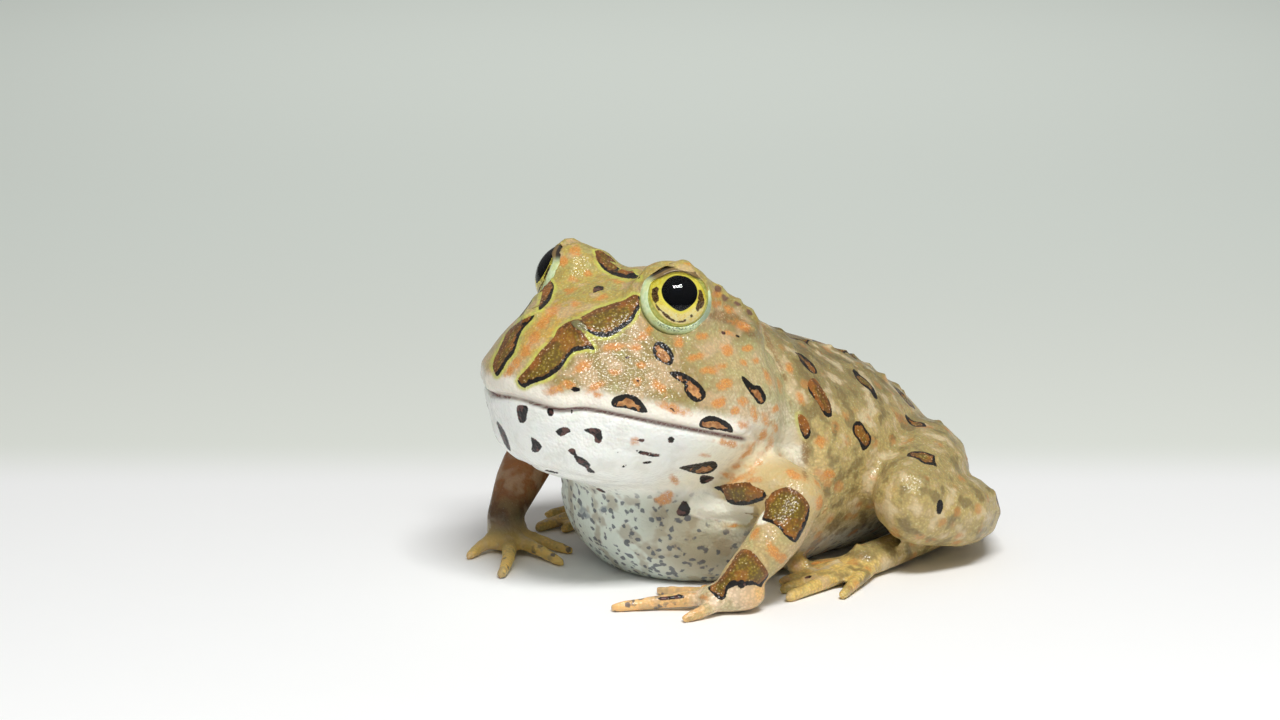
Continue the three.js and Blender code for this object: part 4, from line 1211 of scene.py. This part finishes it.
def build_lid_ring(side):
    """Rim of thin skin that lies on the eyeball inside the lids, with the edge of the upper lid."""
    work = bmesh.new()
    bmesh.ops.create_uvsphere(work, u_segments=RIM_SEGMENTS, v_segments=RIM_RINGS, radius=1)
    doomed = [v for v in work.verts if not RIM_BAND[0] < polar_angle(v) < RIM_BAND[1]]
    bmesh.ops.delete(work, geom=doomed, context="VERTS")
    polar = [polar_angle(v) for v in work.verts]
    low, high = min(polar), max(polar)
    axis = sided(EYE_AXIS, side)
    turn = turn_to(axis)
    centre = sided(EYE_CENTRE, side)
    edge, left, up = [], [], []
    for vertex, angle in zip(work.verts, polar):
        t = (angle - low) / (high - low)
        flat = Vector((vertex.co.x, vertex.co.y, 0)).normalized()
        outward = np.array(turn @ flat)
        near = sided(outward, side)
        across, rise = float(near @ CAMERA_RIGHT), float(near @ CAMERA_UP)
        top = float(smooth(0.45, 0.85, rise))
        inner = (RIM_INNER + 0.8 * across + 0.6 * max(-rise, 0)) * (1 - top) + RIM_INNER_TOP * top
        turn_angle = inner + (RIM_OUTER - inner) * t
        opening = LID_OPENING - LID_TURN_UP * rise - LID_TURN_ACROSS * across
        sunk = float(smooth(opening - 2, opening + 5, turn_angle))
        bend = math.radians(turn_angle)
        rim = 0.05 + 0.27 * math.sin(min(t * 2.2, 1) * math.pi / 2) - 0.12 * float(bell(t - 0.42, 0.07))
        lid = 0.05 - 0.1 * float(smooth(0.2, 0.4, t))
        lift = (rim * (1 - top) + lid * top) * (1 - sunk) - 0.3 * sunk
        place = centre + (EYE_RADIUS + lift) * (math.cos(bend) * axis + math.sin(bend) * outward)
        vertex.co = Vector(frog_to_world(place))
        edge.append(t)
        left.append(-across)
        up.append(rise)
    bmesh.ops.recalc_face_normals(work, faces=work.faces)
    layer = {name: work.verts.layers.float.new(name) for name in ("edge", "left", "up")}
    for n, vertex in enumerate(work.verts):
        vertex[layer["edge"]], vertex[layer["left"]], vertex[layer["up"]] = edge[n], left[n], up[n]
    bmesh.ops.solidify(work, geom=work.faces[:], thickness=RIM_THICKNESS * MM)
    bmesh.ops.recalc_face_normals(work, faces=work.faces)
    return mesh_of(work, "lid ring")


def lid_material():
    sheet = Sheet("thin green lid skin")
    share, over, mix, attribute = sheet.share, sheet.over, sheet.mix, sheet.attribute
    streak = sheet.noise(0.4, 3)
    wave = sheet.noise(1.3, 2, 0.2)
    fine = sheet.noise(0.2, 2, 0.5)
    edge, left, up = attribute("edge"), attribute("left"), attribute("up")

    tone = mix(share(streak, 0.3, 0.7), LID_GREEN, colour(224, 236, 194))
    tone = over(tone, colour(206, 208, 116), share(wave, 0.5, 0.66), 0.45)
    tone = over(tone, colour(146, 178, 136), share(wave, 0.42, 0.28), 0.45)
    # Darker teal along the rim's outer edge on its left side: painted shade
    tone = over(tone, colour(92, 118, 104), share(edge, 0.5, 0.68), share(left, 0.55, 0.9), 0.6)
    tone = over(tone, colour(226, 206, 158), share(edge, 0.42, 0.5), share(left, 0.2, 0.5),
                 share(up, -0.25, -0.5), 0.8)
    tone = over(tone, colour(60, 96, 86), share(edge, 0.24, 0.12), share(up, -0.6, -0.85),
                 share(fine, 0.48, 0.58), 0.7)
    # Darker green low on the rim's right side: painted shade
    tone = over(tone, colour(78, 100, 90), share(left, -0.5, -0.8), share(up, 0.2, -0.3), 0.65)
    # Brown top under the upper lid: the lid's brown underside with painted shade, turning near black further
    # under the lid as painted shadow
    lid = mix(streak, colour(96, 74, 40), colour(146, 120, 72))
    lid = mix(share(edge, 0.13, 0.19), lid, colour(40, 30, 18))
    tone = mix(share(up, 0.4, 0.7), tone, lid)
    sheet.set("Base Color", tone)
    sheet.set("Normal", sheet.bump(streak, 0.04).outputs["Normal"])
    sheet.set("Roughness", sheet.scaled(streak, 0.2, 0.28))
    sheet.set("Coat Weight", 0.4)
    sheet.set("Coat Roughness", 0.1)
    return sheet.material


def build_horn(side, tree):
    """Low soft horn on the edge of an upper lid."""
    axis = Vector(sided(HORN_AXIS, side))
    root = tree.ray_cast(Vector(frog_to_world(sided(EYE_CENTRE, side))) + axis * 12 * MM, -axis)[0]
    work = bmesh.new()
    bmesh.ops.create_cone(
        work, segments=32, cap_ends=True,
        radius1=HORN_FOOT * MM, radius2=HORN_TIP * MM, depth=HORN_HEIGHT * MM,
    )
    bmesh.ops.subdivide_edges(work, edges=work.edges[:], cuts=3, use_grid_fill=True)
    every_axis = {"use_axis_x": True, "use_axis_y": True, "use_axis_z": True}
    for _ in range(5):
        bmesh.ops.smooth_vert(work, verts=work.verts, factor=0.5, **every_axis)
    bmesh.ops.triangulate(work, faces=work.faces)
    bmesh.ops.transform(work, matrix=Matrix.Translation(root) @ turn_to(axis).to_4x4(), verts=work.verts)
    return mesh_of(work, "horn")


# Stage, light and camera
def build_stage():
    sheet = Sheet("pale floor")
    work = bmesh.new()
    bmesh.ops.create_grid(work, x_segments=1, y_segments=1, size=FLOOR_HALF_WIDTH)
    mesh = mesh_of(work, "floor")
    mesh.materials.append(sheet.material)
    floor = linked("floor", mesh)
    split = sheet.add("ShaderNodeSeparateXYZ")
    sheet.feed(split.inputs[0], sheet.place)
    back = sheet.minus(split.outputs["Y"], split.outputs["X"])
    back = sheet.times(back, math.sqrt(0.5))
    # Floor greyer further back, in a soft band and then grey-green: painted fall-off of light toward the back
    tone = sheet.mix(sheet.share(back, 0.03, 0.056), (0.93, 0.935, 0.93), colour(229, 233, 225))
    tone = sheet.mix(sheet.share(back, 0.06, 0.24), tone, colour(233, 240, 232))
    fine = sheet.noise(9, 2)
    tone = sheet.mix(sheet.times(fine, 0.03), tone, (0.7, 0.72, 0.7))
    sheet.set("Base Color", tone)
    sheet.set("Roughness", 0.8)


def build_light():
    world = bpy.data.worlds.new("soft studio")
    world.use_nodes = True
    tree = world.node_tree
    place = tree.nodes.new("ShaderNodeTexCoord")
    split = tree.nodes.new("ShaderNodeSeparateXYZ")
    rise = tree.nodes.new("ShaderNodeMapRange")
    rise.inputs["To Min"].default_value = SKY_BELOW
    rise.inputs["To Max"].default_value = SKY_ABOVE
    tree.links.new(place.outputs["Generated"], split.inputs[0])
    tree.links.new(split.outputs["Z"], rise.inputs["Value"])
    tree.links.new(rise.outputs["Result"], tree.nodes["Background"].inputs["Strength"])
    tree.nodes["Background"].inputs["Color"].default_value = SKY_COLOUR
    bpy.context.scene.world = world
    lamp = bpy.data.lights.new("key lamp", "AREA")
    lamp.shape = "RECTANGLE"
    lamp.size = KEY_LAMP_WIDTH
    lamp.size_y = KEY_LAMP_DEPTH
    lamp.energy = KEY_LAMP_POWER
    holder = linked("key lamp", lamp)
    holder.location = KEY_LAMP_PLACE
    holder.rotation_euler = (KEY_LAMP_AIM - KEY_LAMP_PLACE).to_track_quat("-Z", "Y").to_euler()
    lamp = bpy.data.lights.new("backdrop lamp", "SPOT")
    lamp.spot_size = math.radians(BACKDROP_LAMP_ANGLE)
    lamp.spot_blend = 1
    lamp.shadow_soft_size = 0.05
    lamp.energy = BACKDROP_LAMP_POWER
    linked("backdrop lamp", lamp).location = BACKDROP_LAMP_PLACE
    bpy.context.scene.view_settings.view_transform = "Standard"


def build_camera():
    camera = bpy.data.cameras.new("photo camera")
    camera.sensor_width = SENSOR_WIDTH
    camera.lens = LENS_PIXELS / PHOTO_WIDTH * SENSOR_WIDTH
    camera.clip_start = 0.01
    camera.clip_end = 10
    holder = linked("photo camera", camera)
    holder.location = frog_to_world(CAMERA_PLACE)
    holder.rotation_euler = Vector(-TO_CAMERA).to_track_quat("-Z", "Y").to_euler()
    bpy.context.scene.camera = holder


skin_mesh = build_skin()
skin_tree = tree_of(skin_mesh)
paint(skin_mesh, skin_tree)
frog_skin = skin_material()
finished("skin", skin_mesh, frog_skin, "head_skin", *FLESH)
golden_eye = eye_material()
green_lid = lid_material()
clear_cornea = cornea_material()
for side, side_name in ((1, "left"), (-1, "right")):
    finished(f"{side_name}_eye", build_eye(side), golden_eye, "eye", f"eye_{side_name}")
    finished(f"{side_name}_cornea", build_cornea(side), clear_cornea, "eye")
    finished(f"{side_name}_lid_ring", build_lid_ring(side), green_lid, "lid_skin")
    horn_mesh = build_horn(side, skin_tree)
    paint(horn_mesh, skin_tree)
    finished(f"{side_name}_horn", horn_mesh, frog_skin, "horn_skin", f"eyelid_horn_{side_name}")
build_stage()
build_light()
build_camera()
